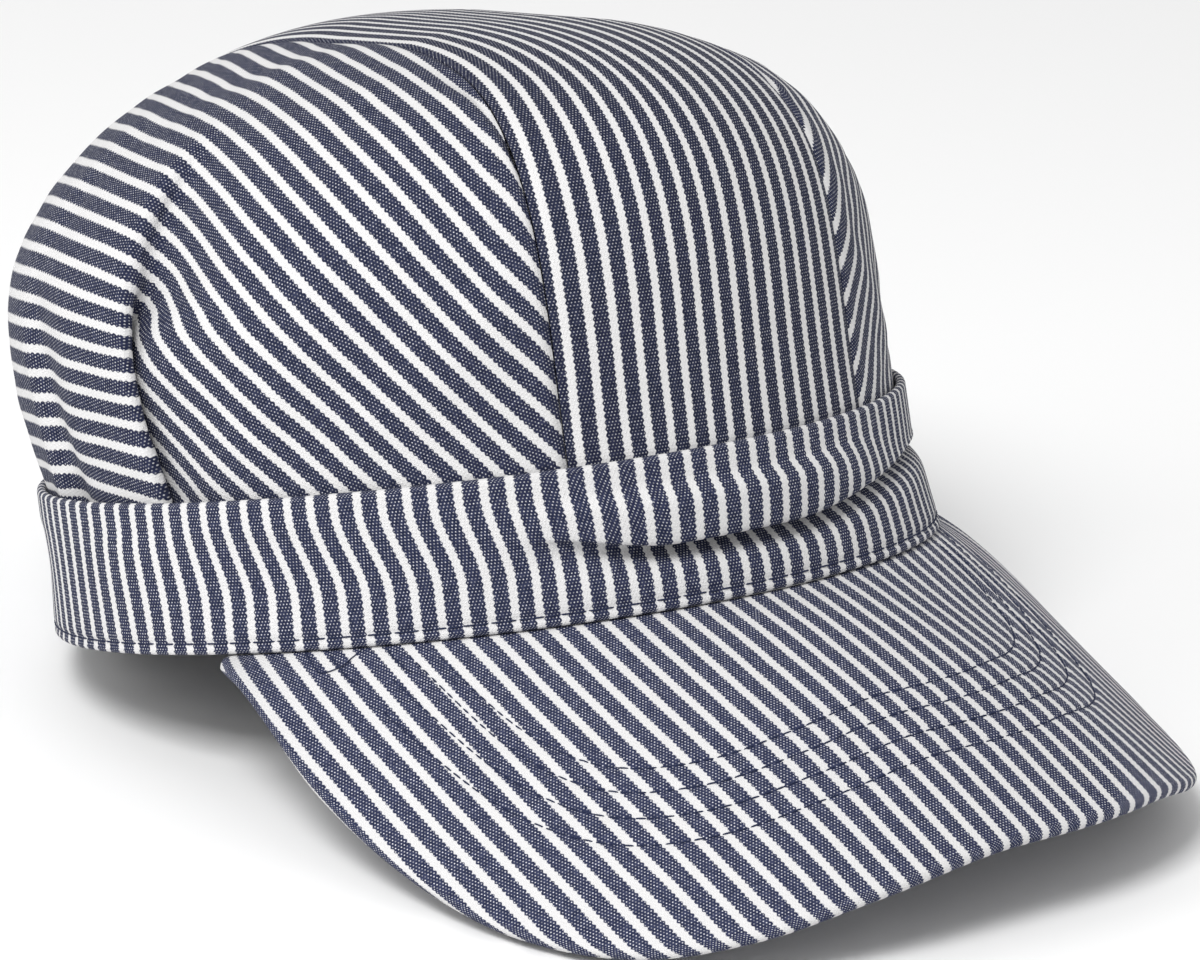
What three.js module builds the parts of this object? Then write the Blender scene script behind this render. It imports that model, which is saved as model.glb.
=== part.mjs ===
// A railroad engineer cap in striped cotton, resting on a table by itself.
// Millimetres, +Z up. The wearer looks along -Y and the wearer's right is -X.
// The origin is on the table, under the middle of the cap's box.
import * as THREE from 'three';

// Driving sizes of the band, measured round the outside of the cloth.
const HEAD_ROUND = 596;
const BAND_HEIGHT = 31.7;
const BAND_CLOTH = 2.0;

// Driving sizes of the crown. The tuck is the hem that goes down inside the band.
const CROWN_RISE = 89;
const CROWN_CLOTH = 1.2;
const CROWN_TUCK = 5;
const STRIP_WIDTH = 78;

// The climb at which a side panel's front and back edges turn into its top.
const PANEL_CORNER = 42;

// Driving sizes of the peak: how far it stands out, how wide and how low it is.
const PEAK_REACH = 75;
const PEAK_HALF_WIDTH = 97;
const PEAK_ROOT_FORWARD = 38;
const PEAK_DROP = 55.3;
const PEAK_THICKNESS = 3.6;
const PEAK_CROWNING = 3.5;

// The seam gap keeps neighbouring pieces apart, and the settle is how far
// the cloth at the back of the band is pressed flat by the table.
const SEAM_GAP = 0.3;
const SETTLE = 0.6;

// The pleats on each side. The fold is the hidden cloth under the edge.
const PLEAT_FOLD = 13;
const PLEAT_EDGE_ARC = 5.2;
const PLEAT_HOLLOW_ARC = 4.4;

// Where each pleat lies: the angle of its edge at the band, counted from the
// front, how far the edge leans back as it climbs, how deep the pleat is as a
// share of the full fold, and how high it runs as a share of the crown's rise.
const PLEATS = [
  { angle: 77, lean: 9, depth: 1.0, height: 0.82 },
  { angle: 107, lean: 8, depth: 0.55, height: 0.84 },
];

// The band's outline seen from above: shares of its mean radius.
const BAND_OUTLINE = { egg: 0.011, square: 0.012 };

// The crown's dome: how square its plan and its side view are, at the middle
// (mean), more at the front (front) and more front and back than at the sides
// (ends), how far its wall swells, and how far its top leans, as shares.
const DOME = {
  plan: { mean: 2.38, front: 0.17, ends: 0.53 },
  side: { mean: 3.48, front: 0.29, ends: 0.17 },
  swell: { mean: 0.029, front: -0.039, ends: 0.004, right: 0.023 },
  shift: { left: 0.036, front: 0.075 },
  slope: { left: 0.046, back: -0.086 },
};

// Soft swells and hollows of the side panels: angle and width in degrees,
// height and spread as shares of the crown's rise, depth as a share of
// CROWN_RELIEF.
const CROWN_RELIEF = 3.2;
const CROWN_DENTS = [
  { angle: 128, width: 20, height: 0.5, spread: 0.3, depth: 1.0 },
  { angle: 93, width: 10, height: 0.62, spread: 0.25, depth: 0.5 },
];

// The roll of cloth across the front of the band. Heights are shares of the
// band's height, depths are shares of its cloth, angles are in degrees.
const BAND_ROLL = { from: -72, to: 34, fade: 26 };
const BAND_ROLL_SECTION = [
  { height: 0.68, spread: 0.17, depth: 1.0 },
  { height: 0.40, spread: 0.13, depth: -1.5 },
];

// Soft dents elsewhere on the band: angle and width in degrees, depth as a
// share of the cloth.
const BAND_DENTS = [
  { angle: 62, width: 11, height: 0.45, depth: -0.5 },
  { angle: 83, width: 9, height: 0.55, depth: 0.35 },
  { angle: 128, width: 16, height: 0.5, depth: -0.5 },
  { angle: -118, width: 18, height: 0.5, depth: -0.5 },
];

// The peak's outer edge: the angle round the peak from its middle, and how
// low the edge is there as a share of the drop.
const PEAK_EDGE = [
  { angle: 0, low: 0.826 },
  { angle: 16, low: 0.902 },
  { angle: 26, low: 0.975 },
  { angle: 36, low: 1.00 },
  { angle: 47, low: 0.92 },
  { angle: 57, low: 0.765 },
  { angle: 67, low: 0.565 },
  { angle: 78, low: 0.305 },
  { angle: 90, low: 0.03 },
];
const PEAK_SQUARENESS = 2.92;
const PEAK_ROOT_ANGLE = 70;

// The share of each half of the peak over which its outer edge rounds in to
// the band, and how far it stands clear of the band at its ends.
const PEAK_END_SHARE = 0.2;
const PEAK_END_WIDTH = 1.6;

// How finely each surface is faceted.
const BAND_STEPS = { round: 96, up: 7 };
const STRIP_STEPS = { across: 6, along: 38 };
const PANEL_STEPS = { front: 11, hollow: 3, fold: 2, edge: 4, between: 6, back: 9, up: 14 };
const PEAK_STEPS = { along: 40, out: 7 };

const NAVY_STRIPED = { color: 0x5d6785, roughness: 0.95, metalness: 0 };
const radians = THREE.MathUtils.degToRad;
const meanRadius = HEAD_ROUND / (2 * Math.PI);

// The share of the band's height up to which it is free of the crown's hem.
const HEM_SHARE = 1 - (CROWN_TUCK + SEAM_GAP) / BAND_HEIGHT;

// A point of the band's outline, moved inward by inset. The angle is that of
// the outward normal, from the front towards the wearer's right.
function outlinePoint(angle, inset) {
  const { egg, square } = BAND_OUTLINE;
  const reach = meanRadius * (1 + egg * Math.cos(3 * angle) + square * Math.cos(4 * angle)) - inset;
  const turn = -meanRadius * (3 * egg * Math.sin(3 * angle) + 4 * square * Math.sin(4 * angle));
  return new THREE.Vector3(
    -reach * Math.sin(angle) - turn * Math.cos(angle),
    -reach * Math.cos(angle) + turn * Math.sin(angle),
    0,
  );
}

function smoothStep(from, to, value) {
  return THREE.MathUtils.smoothstep(value, from, to);
}

// A bell of height one that reaches zero at about twice its spread.
function bell(distance, spread) {
  return Math.exp(-((distance / spread) ** 2));
}

// A smooth value read from a table with a column of angles.
function readTable(table, column, angle) {
  const last = table.length - 1;
  let row = 0;
  while (row < last - 1 && angle > table[row + 1].angle) row += 1;
  const before = table[Math.max(row - 1, 0)];
  const start = table[row];
  const end = table[row + 1];
  const after = table[Math.min(row + 2, last)];
  const span = end.angle - start.angle;
  const share = (angle - start.angle) / span;
  const startSlope = row === 0 ? 0 : (end[column] - before[column]) / (end.angle - before.angle);
  const endSlope = (after[column] - start[column]) / (after.angle - start.angle);
  const square = share * share;
  const cube = square * share;
  return (2 * cube - 3 * square + 1) * start[column] + (cube - 2 * square + share) * span * startSlope
    + (3 * square - 2 * cube) * end[column] + (cube - square) * span * endSlope;
}

// The surface normals of a grid of points, by differences of neighbours.
function gridNormals(grid, ring) {
  const rows = grid.length;
  return grid.map((line, i) => line.map((point, j) => {
    const before = ring ? grid[(i - 1 + rows) % rows][j] : grid[Math.max(i - 1, 0)][j];
    const after = ring ? grid[(i + 1) % rows][j] : grid[Math.min(i + 1, rows - 1)][j];
    const below = line[Math.max(j - 1, 0)];
    const above = line[Math.min(j + 1, line.length - 1)];
    const across = new THREE.Vector3().subVectors(after, before);
    const up = new THREE.Vector3().subVectors(above, below);
    return across.cross(up).normalize();
  }));
}

// A closed sheet of cloth: the outer grid, a copy of it moved inward by the
// cloth's thickness, and walls round the edges. Normals of the outer grid
// point out of the cap. A ring closes on itself along its first direction.
function clothSolid(outer, inner, ring) {
  const rows = outer.length;
  const columns = outer[0].length;
  const positions = [];
  const indices = [];
  for (const grid of [outer, inner]) {
    grid.forEach((line) => line.forEach((point) => positions.push(point.x, point.y, point.z)));
  }
  const half = rows * columns;
  const at = (i, j) => (i % rows) * columns + j;
  const quad = (a, b, c, d) => indices.push(a, b, c, a, c, d);
  const steps = ring ? rows : rows - 1;
  for (let i = 0; i < steps; i += 1) {
    for (let j = 0; j < columns - 1; j += 1) {
      quad(at(i, j), at(i + 1, j), at(i + 1, j + 1), at(i, j + 1));
      quad(half + at(i, j), half + at(i, j + 1), half + at(i + 1, j + 1), half + at(i + 1, j));
    }
    quad(at(i, 0), half + at(i, 0), half + at(i + 1, 0), at(i + 1, 0));
    const top = columns - 1;
    quad(at(i, top), at(i + 1, top), half + at(i + 1, top), half + at(i, top));
  }
  if (!ring) {
    const end = rows - 1;
    for (let j = 0; j < columns - 1; j += 1) {
      quad(at(0, j), at(0, j + 1), half + at(0, j + 1), half + at(0, j));
      quad(at(end, j), half + at(end, j), half + at(end, j + 1), at(end, j + 1));
    }
  }
  const geometry = new THREE.BufferGeometry();
  geometry.setAttribute('position', new THREE.Float32BufferAttribute(positions, 3));
  geometry.setIndex(indices);
  geometry.computeVertexNormals();
  return geometry;
}

function movedInward(grid, normals, thickness) {
  return grid.map((line, i) => line.map((point, j) => (
    point.clone().addScaledVector(normals[i][j], -thickness)
  )));
}

// How far the band's outside stands out of its plain outline.
function bandRelief(angle, share) {
  const degrees = THREE.MathUtils.radToDeg(Math.atan2(Math.sin(angle), Math.cos(angle)));
  const { from, to, fade } = BAND_ROLL;
  const rollPart = smoothStep(from - fade / 2, from + fade / 2, degrees)
    * (1 - smoothStep(to - fade / 2, to + fade / 2, degrees));
  let relief = 0;
  for (const { height, spread, depth } of BAND_ROLL_SECTION) {
    relief += rollPart * depth * bell(share - height, spread);
  }
  for (const { angle: place, width, height, depth } of BAND_DENTS) {
    relief += depth * bell(degrees - place, width) * bell(share - height, 0.3);
  }
  const heldTop = 1 - smoothStep(0.85 * HEM_SHARE, HEM_SHARE, share);
  return relief * BAND_CLOTH * heldTop * smoothStep(0, 0.2, share);
}

function bandGrids() {
  const { round, up } = BAND_STEPS;
  const outer = [];
  const inner = [];
  for (let i = 0; i < round; i += 1) {
    const angle = -2 * Math.PI * i / round;
    const outside = [];
    const inside = [];
    for (let j = 0; j <= up; j += 1) {
      const share = j === up ? 1 : HEM_SHARE * j / (up - 1);
      const relief = bandRelief(angle, share);
      outside.push(outlinePoint(angle, -relief).setZ(BAND_HEIGHT * share));
      inside.push(outlinePoint(angle, BAND_CLOTH - relief).setZ(BAND_HEIGHT * share));
    }
    outer.push(outside);
    inner.push(inside);
  }
  return { outer, inner };
}

// A share that changes round the crown: mean, more at the front, more at both
// ends than at the sides, and more on the wearer's right.
function roundShare({ mean = 0, front = 0, ends = 0, right = 0 }, angle) {
  return mean + front * Math.cos(angle) + ends * Math.cos(2 * angle) + right * Math.sin(angle);
}

// A point of the crown's outside. The climb runs from 0 at the band to a
// quarter turn at the top. Lift moves the point out of the surface's plan.
function domePoint(angle, climb, lift) {
  const plan = Math.cos(climb) ** (2 / roundShare(DOME.plan, angle));
  const rise = Math.sin(climb) ** (2 / roundShare(DOME.side, angle));
  const swell = roundShare(DOME.swell, angle) * Math.sin(Math.PI * rise) * plan ** 2;
  const point = outlinePoint(angle, BAND_CLOTH + SEAM_GAP);
  const reach = plan * (1 + swell);
  const away = point.clone().setLength(lift * plan);
  point.multiplyScalar(reach).add(away);
  const { left, back } = DOME.slope;
  const slope = 1 - (left * point.x + back * point.y) / meanRadius;
  point.x += DOME.shift.left * meanRadius * rise ** 2;
  point.y -= DOME.shift.front * meanRadius * rise ** 2;
  point.z = BAND_HEIGHT + CROWN_RISE * rise * slope;
  return point;
}

// The same, where a climb below zero is the hem that is tucked in the band.
function crownPoint(angle, climb, lift) {
  if (climb >= 0) return domePoint(angle, climb, lift);
  return outlinePoint(angle, BAND_CLOTH + SEAM_GAP - lift).setZ(BAND_HEIGHT + climb * CROWN_TUCK);
}

// The outward normal of the smooth crown, without its pleats.
function crownNormal(angle, climb) {
  const nudge = 0.004;
  const held = THREE.MathUtils.clamp(climb, nudge, Math.PI / 2 - 2 * nudge);
  const round = new THREE.Vector3().subVectors(
    crownPoint(angle - nudge, held, 0), crownPoint(angle + nudge, held, 0),
  );
  const up = new THREE.Vector3().subVectors(
    crownPoint(angle, held + nudge, 0), crownPoint(angle, held - nudge, 0),
  );
  return round.cross(up).normalize();
}

// The plan share of the crown at a climb, and the climb where it is reached.
function planShare(angle, climb) {
  return Math.cos(climb) ** (2 / roundShare(DOME.plan, angle));
}

function riseShare(angle, climb) {
  if (climb <= 0) return 0;
  return Math.sin(climb) ** (2 / roundShare(DOME.side, angle));
}

// Halves an interval until rising(value) changes from false to true.
function findChange(low, high, rising) {
  let start = low;
  let end = high;
  for (let round = 0; round < 40; round += 1) {
    const middle = (start + end) / 2;
    if (rising(middle)) end = middle;
    else start = middle;
  }
  return start;
}

// How far a point of the crown's plan is from the middle of the cap, sideways.
function sideways(angle, climb) {
  return Math.abs(outlinePoint(angle, BAND_CLOTH + SEAM_GAP).x) * planShare(angle, Math.max(climb, 0));
}

// The climb at which a line up the crown meets the seam.
function seamClimb(angle, distance) {
  return findChange(0, Math.PI / 2, (climb) => sideways(angle, climb) < distance);
}

// The angle at which a level line round the crown meets the seam, in the
// front quarter or in the back one. Side is 1 on the wearer's right.
function seamAngle(climb, distance, side, back) {
  const turned = (turn) => side * (back ? Math.PI - turn : turn);
  return turned(findChange(0, Math.PI / 2, (turn) => sideways(turned(turn), climb) > distance));
}

// The middle strip of the crown: lines from the front hem to the back hem,
// each at its own distance from the middle.
function stripGrids() {
  const { across, along } = STRIP_STEPS;
  const reach = STRIP_WIDTH / 2 - SEAM_GAP / 2;
  const grid = [];
  const normals = [];
  for (let i = 0; i <= across; i += 1) {
    const place = reach * (2 * i / across - 1);
    const side = place < 0 ? 1 : -1;
    const highest = seamClimb(side * Math.PI / 2, Math.abs(place));
    const line = [];
    const lineNormals = [];
    for (let j = -1; j <= along + 1; j += 1) {
      const share = THREE.MathUtils.clamp(2 * j / along - 1, -1, 1);
      const hem = j < 0 || j > along;
      const climb = hem ? -1 : highest * (1 - share ** 2);
      const angle = seamAngle(climb, Math.abs(place), side, j > along / 2);
      line.push(crownPoint(angle, climb, 0));
      lineNormals.push(crownNormal(angle, climb));
    }
    grid.push(line);
    normals.push(lineNormals);
  }
  return { grid, normals };
}

// How far a side panel stands out of the plain dome, away from its pleats.
function panelRelief(angle, rise) {
  const degrees = THREE.MathUtils.radToDeg(Math.abs(angle));
  return CROWN_DENTS.reduce((sum, { angle: place, width, height, spread, depth }) => (
    sum + CROWN_RELIEF * depth * bell(degrees - place, width) * bell(rise - height, spread)
  ), 0);
}

// The path of the cloth through a pleat, from the hidden layer to the edge
// that shows: an arc, a straight stretch and an arc back. Strength 1 folds
// the cloth flat on itself, strength 0 leaves it smooth. The result is the
// place along the band, counted back from the edge, and the depth inside it.
function pleatPath(pleat, strength) {
  const turn = Math.PI * smoothStep(0, 0.75, strength);
  const fold = PLEAT_EDGE_ARC / 2 + PLEAT_FOLD * pleat.depth * smoothStep(0.3, 1, strength);
  const { hollow, fold: flat, edge } = PANEL_STEPS;
  const path = [{ along: 0, out: 0 }];
  const addArc = (length, steps, from, to) => {
    for (let step = 1; step <= steps; step += 1) {
      const heading = from + (to - from) * (step - 0.5) / steps;
      const last = path[path.length - 1];
      const along = last.along + Math.cos(heading) * length / steps;
      path.push({ along, out: last.out + Math.sin(heading) * length / steps });
    }
  };
  addArc(PLEAT_HOLLOW_ARC, hollow, 0, turn);
  addArc(fold, flat, turn, turn);
  addArc(PLEAT_EDGE_ARC, edge, turn, 0);
  const end = path[path.length - 1];
  return path.map(({ along, out }) => ({ along: along - end.along, out: out - end.out }));
}

// One line of a side panel at one height: the angle and the lift of every
// column, through the plain stretches and the pleats.
function panelLine(columns, heights, first, last, side) {
  const line = columns.map(() => ({ angle: 0, lift: 0 }));
  const marks = [];
  columns.forEach(({ pleat, step }, i) => {
    if (pleat === null) return;
    const { angle, lean, height } = PLEATS[pleat];
    const strength = 1 - smoothStep(0.35 * height, height, heights[i]);
    const point = pleatPath(PLEATS[pleat], strength)[step];
    const edge = radians(angle + lean * heights[i]);
    line[i] = { angle: side * (edge + point.along / meanRadius), lift: point.out };
    if (step === 0) marks.push(line[i]);
    marks[pleat].end = line[i];
  });
  columns.forEach(({ pleat, stretch, share }, i) => {
    if (pleat !== null) return;
    const from = stretch === 0 ? first : marks[stretch - 1].end.angle;
    const to = stretch < marks.length ? marks[stretch].angle : last;
    const depth = stretch < marks.length ? marks[stretch].lift : 0;
    line[i] = { angle: from + (to - from) * share, lift: depth * smoothStep(0.45, 1, share) ** 1.5 };
  });
  return line;
}

// The columns of a side panel from its front seam to its back seam.
function panelColumns() {
  const { front, hollow, fold, edge, between, back } = PANEL_STEPS;
  const columns = [];
  const addStretch = (stretch, steps, from, to) => {
    for (let step = from; step <= to; step += 1) {
      columns.push({ pleat: null, stretch, share: step / steps });
    }
  };
  const stretches = [front, between, back];
  PLEATS.forEach((row, pleat) => {
    addStretch(pleat, stretches[pleat], pleat === 0 ? 0 : 1, stretches[pleat] - 1);
    for (let step = 0; step <= hollow + fold + edge; step += 1) columns.push({ pleat, step });
  });
  addStretch(PLEATS.length, back, 1, back);
  return columns;
}

// A side panel. Its lowest line is the hem, its first and last columns and
// its top line lie along the seam.
function panelGrids(side) {
  const reach = STRIP_WIDTH / 2 + SEAM_GAP / 2;
  const corner = radians(PANEL_CORNER);
  const columns = panelColumns();
  const highest = columns.map(() => 1);
  const topLine = panelLine(
    columns, highest, seamAngle(corner, reach, side, false), seamAngle(corner, reach, side, true), side,
  );
  const tops = topLine.map(({ angle }) => seamClimb(angle, reach));
  const { up } = PANEL_STEPS;
  const rows = [];
  const edgeNormals = [];
  for (let j = -1; j <= up; j += 1) {
    const share = Math.max(j, 0) / up;
    const climbs = tops.map((top) => top * share);
    const heights = climbs.map((climb, i) => (j === up ? 1 : riseShare(topLine[i].angle, climb)));
    const first = seamAngle(corner * share, reach, side, false);
    const last = seamAngle(corner * share, reach, side, true);
    const line = panelLine(columns, heights, first, last, side);
    const held = smoothStep(0, 0.15, share) * (1 - smoothStep(0.7, 1, share));
    rows.push(line.map(({ angle, lift }, i) => {
      const inner = Math.min(1, Math.min(i, columns.length - 1 - i) / PANEL_STEPS.front);
      const relief = panelRelief(angle, heights[i]) * held * inner;
      return crownPoint(angle, j < 0 ? -1 : climbs[i], lift + relief);
    }));
    edgeNormals.push(line.map(({ angle }, i) => crownNormal(angle, climbs[i])));
  }
  const grid = columns.map((column, i) => rows.map((row) => row[i]));
  const smooth = columns.map((column, i) => edgeNormals.map((row) => row[i]));
  if (side > 0) {
    grid.reverse();
    smooth.reverse();
  }
  const normals = gridNormals(grid, false).map((line, i) => line.map((normal, j) => (
    i === 0 || i === columns.length - 1 || j === up + 1 ? smooth[i][j] : normal
  )));
  return { grid, normals };
}

// A point of the peak's outer edge, on a rounded oblong seen from above.
function peakEdge(turn) {
  const forward = -outlinePoint(0, 0).y + PEAK_REACH - PEAK_ROOT_FORWARD;
  const wide = Math.abs(Math.sin(turn)) / PEAK_HALF_WIDTH;
  const deep = Math.abs(Math.cos(turn)) / forward;
  const reach = (wide ** PEAK_SQUARENESS + deep ** PEAK_SQUARENESS) ** (-1 / PEAK_SQUARENESS);
  const low = readTable(PEAK_EDGE, 'low', THREE.MathUtils.radToDeg(Math.abs(turn)));
  return new THREE.Vector3(
    -reach * Math.sin(turn),
    -PEAK_ROOT_FORWARD - reach * Math.cos(turn),
    -PEAK_DROP * low,
  );
}

// The peak's upper face runs straight from its root under the band to its
// edge, and stands up a little between them.
function peakGrid() {
  const { along, out } = PEAK_STEPS;
  const grid = [];
  for (let i = 0; i <= along; i += 1) {
    const share = 1 - 2 * i / along;
    const rootAngle = share * radians(PEAK_ROOT_ANGLE);
    const root = outlinePoint(rootAngle, BAND_CLOTH / 2).setZ(-SEAM_GAP);
    const end = outlinePoint(rootAngle, -PEAK_END_WIDTH).setZ(-SEAM_GAP);
    const rounding = Math.max(Math.abs(share) - 1 + PEAK_END_SHARE, 0) / PEAK_END_SHARE;
    const edge = peakEdge(share * Math.PI / 2).lerp(end, 1 - Math.sqrt(1 - rounding ** 2));
    const line = [];
    for (let j = 0; j <= out; j += 1) {
      const way = j / out;
      const point = new THREE.Vector3().lerpVectors(edge, root, way);
      point.z += PEAK_CROWNING * 4 * way * (1 - way) * Math.cos(share * Math.PI / 2);
      line.push(point);
    }
    grid.push(line);
  }
  return grid;
}

// The angle through which the front is propped up, so that the cap rests on
// the back of its band and on the peak, and the height of the table then.
function restingPlace(bandPoints, peakPoints) {
  const lowest = (points, tilt) => Math.min(...points.map(({ y, z }) => (
    z * Math.cos(tilt) - y * Math.sin(tilt)
  )));
  const tilt = findChange(0, radians(40), (angle) => (
    lowest(peakPoints, angle) > lowest(bandPoints, angle) + SETTLE
  ));
  return { tilt, table: lowest(peakPoints, tilt) };
}

// Presses the points that would lie under the table flat against it.
function pressFlat(points, { tilt, table }) {
  const up = new THREE.Vector3(0, -Math.sin(tilt), Math.cos(tilt));
  for (const point of points) {
    point.addScaledVector(up, Math.max(table - point.dot(up), 0));
  }
}

function clothMesh(name, geometry) {
  const mesh = new THREE.Mesh(geometry, new THREE.MeshStandardMaterial(NAVY_STRIPED));
  mesh.name = name;
  return mesh;
}

function crownMesh(name, { grid, normals }) {
  return clothMesh(name, clothSolid(grid, movedInward(grid, normals, CROWN_CLOTH), false));
}

const band = bandGrids();
const peak = peakGrid();
const peakUnder = movedInward(peak, gridNormals(peak, false), PEAK_THICKNESS);
const bandPoints = [...band.outer.flat(), ...band.inner.flat()];
const place = restingPlace(bandPoints, [...peak.flat(), ...peakUnder.flat()]);
pressFlat(bandPoints, place);

const cap = new THREE.Group();
cap.add(clothMesh('band', clothSolid(band.outer, band.inner, true)));
cap.add(clothMesh('peak', clothSolid(peak, peakUnder, false)));
cap.add(crownMesh('crown_middle_strip', stripGrids()));
cap.add(crownMesh('crown_side_right', panelGrids(1)));
cap.add(crownMesh('crown_side_left', panelGrids(-1)));
cap.rotation.x = -place.tilt;

const onTable = new THREE.Group();
onTable.add(cap);
onTable.updateMatrixWorld(true);
const box = new THREE.Box3().setFromObject(onTable, true);
cap.position.set(-(box.min.x + box.max.x) / 2, -(box.min.y + box.max.y) / 2, -place.table);

export default onTable;
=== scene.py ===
# %% [markdown]
# A railroad engineer cap in striped cotton
#
# The cap is sewn from woven cloth, so nearly all of its look comes from three
# things: how the cloth is bent (the crown, the pleats, the roll of the band),
# which way the stripes run on each piece, and the weave itself. The lesson
# works out each sheet of cloth as a function of two numbers on a grid, gives
# every point a place on the flat cloth as well, and lets one woven material
# read that place. The first cell loads the measured model, which is the frame
# that every piece has to fit.

import bpy
import numpy as np
from mathutils import Matrix


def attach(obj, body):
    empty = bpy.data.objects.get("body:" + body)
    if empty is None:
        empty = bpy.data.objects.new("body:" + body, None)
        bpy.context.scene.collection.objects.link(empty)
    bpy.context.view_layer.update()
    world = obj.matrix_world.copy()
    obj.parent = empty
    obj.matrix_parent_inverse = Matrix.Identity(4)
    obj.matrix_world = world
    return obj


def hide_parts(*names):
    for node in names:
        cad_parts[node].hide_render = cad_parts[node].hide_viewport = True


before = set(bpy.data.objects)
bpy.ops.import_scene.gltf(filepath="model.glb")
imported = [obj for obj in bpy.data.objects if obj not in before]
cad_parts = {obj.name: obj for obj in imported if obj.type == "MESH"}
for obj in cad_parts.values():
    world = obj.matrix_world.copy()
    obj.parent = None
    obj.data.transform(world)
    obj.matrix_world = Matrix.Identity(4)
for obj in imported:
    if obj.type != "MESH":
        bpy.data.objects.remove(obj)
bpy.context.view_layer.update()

print("nodes:", sorted(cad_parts))

# %% [markdown]
# Sizes. The shapes repeat the sizes of the measured model, in millimetres. The
# cap is described upright, with the band's lower edge level, and is tipped up
# only at the end, because it rests on the back of its band and on its peak.

# %% Driving sizes
MM = 0.001
HEAD_ROUND = 596.0
BAND_HEIGHT = 31.7
BAND_CLOTH = 2.0
CROWN_RISE = 89.0
CROWN_CLOTH = 1.2
CROWN_TUCK = 5.0
STRIP_WIDTH = 78.0
PANEL_CORNER = 42.0
SEAM_GAP = 0.3
PEAK_REACH = 75.0
PEAK_HALF_WIDTH = 97.0
PEAK_ROOT_FORWARD = 38.0
PEAK_DROP = 55.3
PEAK_THICKNESS = 3.0
PEAK_CROWNING = 3.5
PEAK_SQUARENESS = 2.92
PEAK_ROOT_ANGLE = 67.5
PEAK_END_SHARE = 0.2
PEAK_END_WIDTH = 1.6
STRIPE_PITCH = 5.13
REST_TILT = 14.187

mean_radius = HEAD_ROUND / (2 * np.pi)
print("mean radius of the band:", round(mean_radius, 2), "mm")

# %% [markdown]
# Small helpers. A smooth step and a bell are the two curves from which nearly
# every soft form here is mixed. A bell is exp(-(distance / spread) squared).

# %% Curves
RIPPLE_SHORT = 9.0
RIPPLE_LONG = 42.0
RIPPLE_COUNT = 12


def smooth(low, high, value):
    """Zero below low, one above high, and 3t^2 - 2t^3 between them."""
    share = np.clip((value - low) / (high - low), 0.0, 1.0)
    return share * share * (3.0 - 2.0 * share)


def bell(distance, spread):
    """A bell of height one: exp of minus the square of distance / spread."""
    return np.exp(-((distance / spread) ** 2))


def unit(vectors):
    """Each vector divided by its own length."""
    return vectors / np.maximum(np.linalg.norm(vectors, axis=-1, keepdims=True), 1e-9)


def wrapped_degrees(angle):
    """An angle round the head in degrees, from -180 to 180, above zero on the wearer's right."""
    return np.degrees(np.arctan2(np.sin(angle), np.cos(angle)))


def plan_degrees(points):
    """The angle of points from straight ahead, seen from above, the same on both sides."""
    return np.degrees(np.arctan2(np.abs(points[..., 0]), -points[..., 1]))


def grid_normals(grid, ring_i=False, ring_j=False):
    """The cross product of the two directions of a grid, by neighbour differences."""
    def difference(axis, ring):
        if ring:
            return np.roll(grid, -1, axis) - np.roll(grid, 1, axis)
        return np.gradient(grid, axis=axis)

    return unit(np.cross(difference(0, ring_i), difference(1, ring_j)))


def run_lengths(grid, axis):
    """Distances walked along one direction of a grid, starting at zero."""
    steps = np.linalg.norm(np.diff(grid, axis=axis), axis=-1)
    walked = np.cumsum(steps, axis=axis)
    shape = list(walked.shape)
    shape[axis] = 1
    return np.concatenate([np.zeros(shape), walked], axis=axis)


def ripples(uv, height, seed):
    """The mean of slow waves over the flat cloth in random directions."""
    draw = np.random.default_rng(seed)
    total = np.zeros(uv.shape[:-1])
    for wave_length in np.geomspace(RIPPLE_SHORT, RIPPLE_LONG, RIPPLE_COUNT):
        turn, start = draw.uniform(0, 2 * np.pi, 2)
        place = uv[..., 0] * np.cos(turn) + uv[..., 1] * np.sin(turn)
        total += np.sin(2 * np.pi * place / wave_length + start) * wave_length / RIPPLE_LONG
    return height * total / np.sqrt(RIPPLE_COUNT)


print("bell at one spread:", round(float(bell(1.0, 1.0)), 3))

# %% [markdown]
# A sheet of cloth as a mesh. A grid of points becomes quads. The grid may be
# a closed loop in either direction, so a hem is a closed loop of its section
# carried round the head. The place on the flat cloth goes into a UV map in
# metres, and it is written for each face corner, so that the last column of a
# ring can hold the full length and not jump back to zero.

# %% Mesh from a grid
REST_PLACE = np.array([0.0, 33.902, 22.672])


def smooth_object(name, mesh, material):
    """An object of a mesh, shaded smooth and in one material, put into the scene."""
    mesh.polygons.foreach_set("use_smooth", np.ones(len(mesh.polygons), dtype=bool))
    mesh.materials.append(material)
    mesh.validate()
    obj = bpy.data.objects.new(name, mesh)
    bpy.context.collection.objects.link(obj)
    return obj


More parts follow.
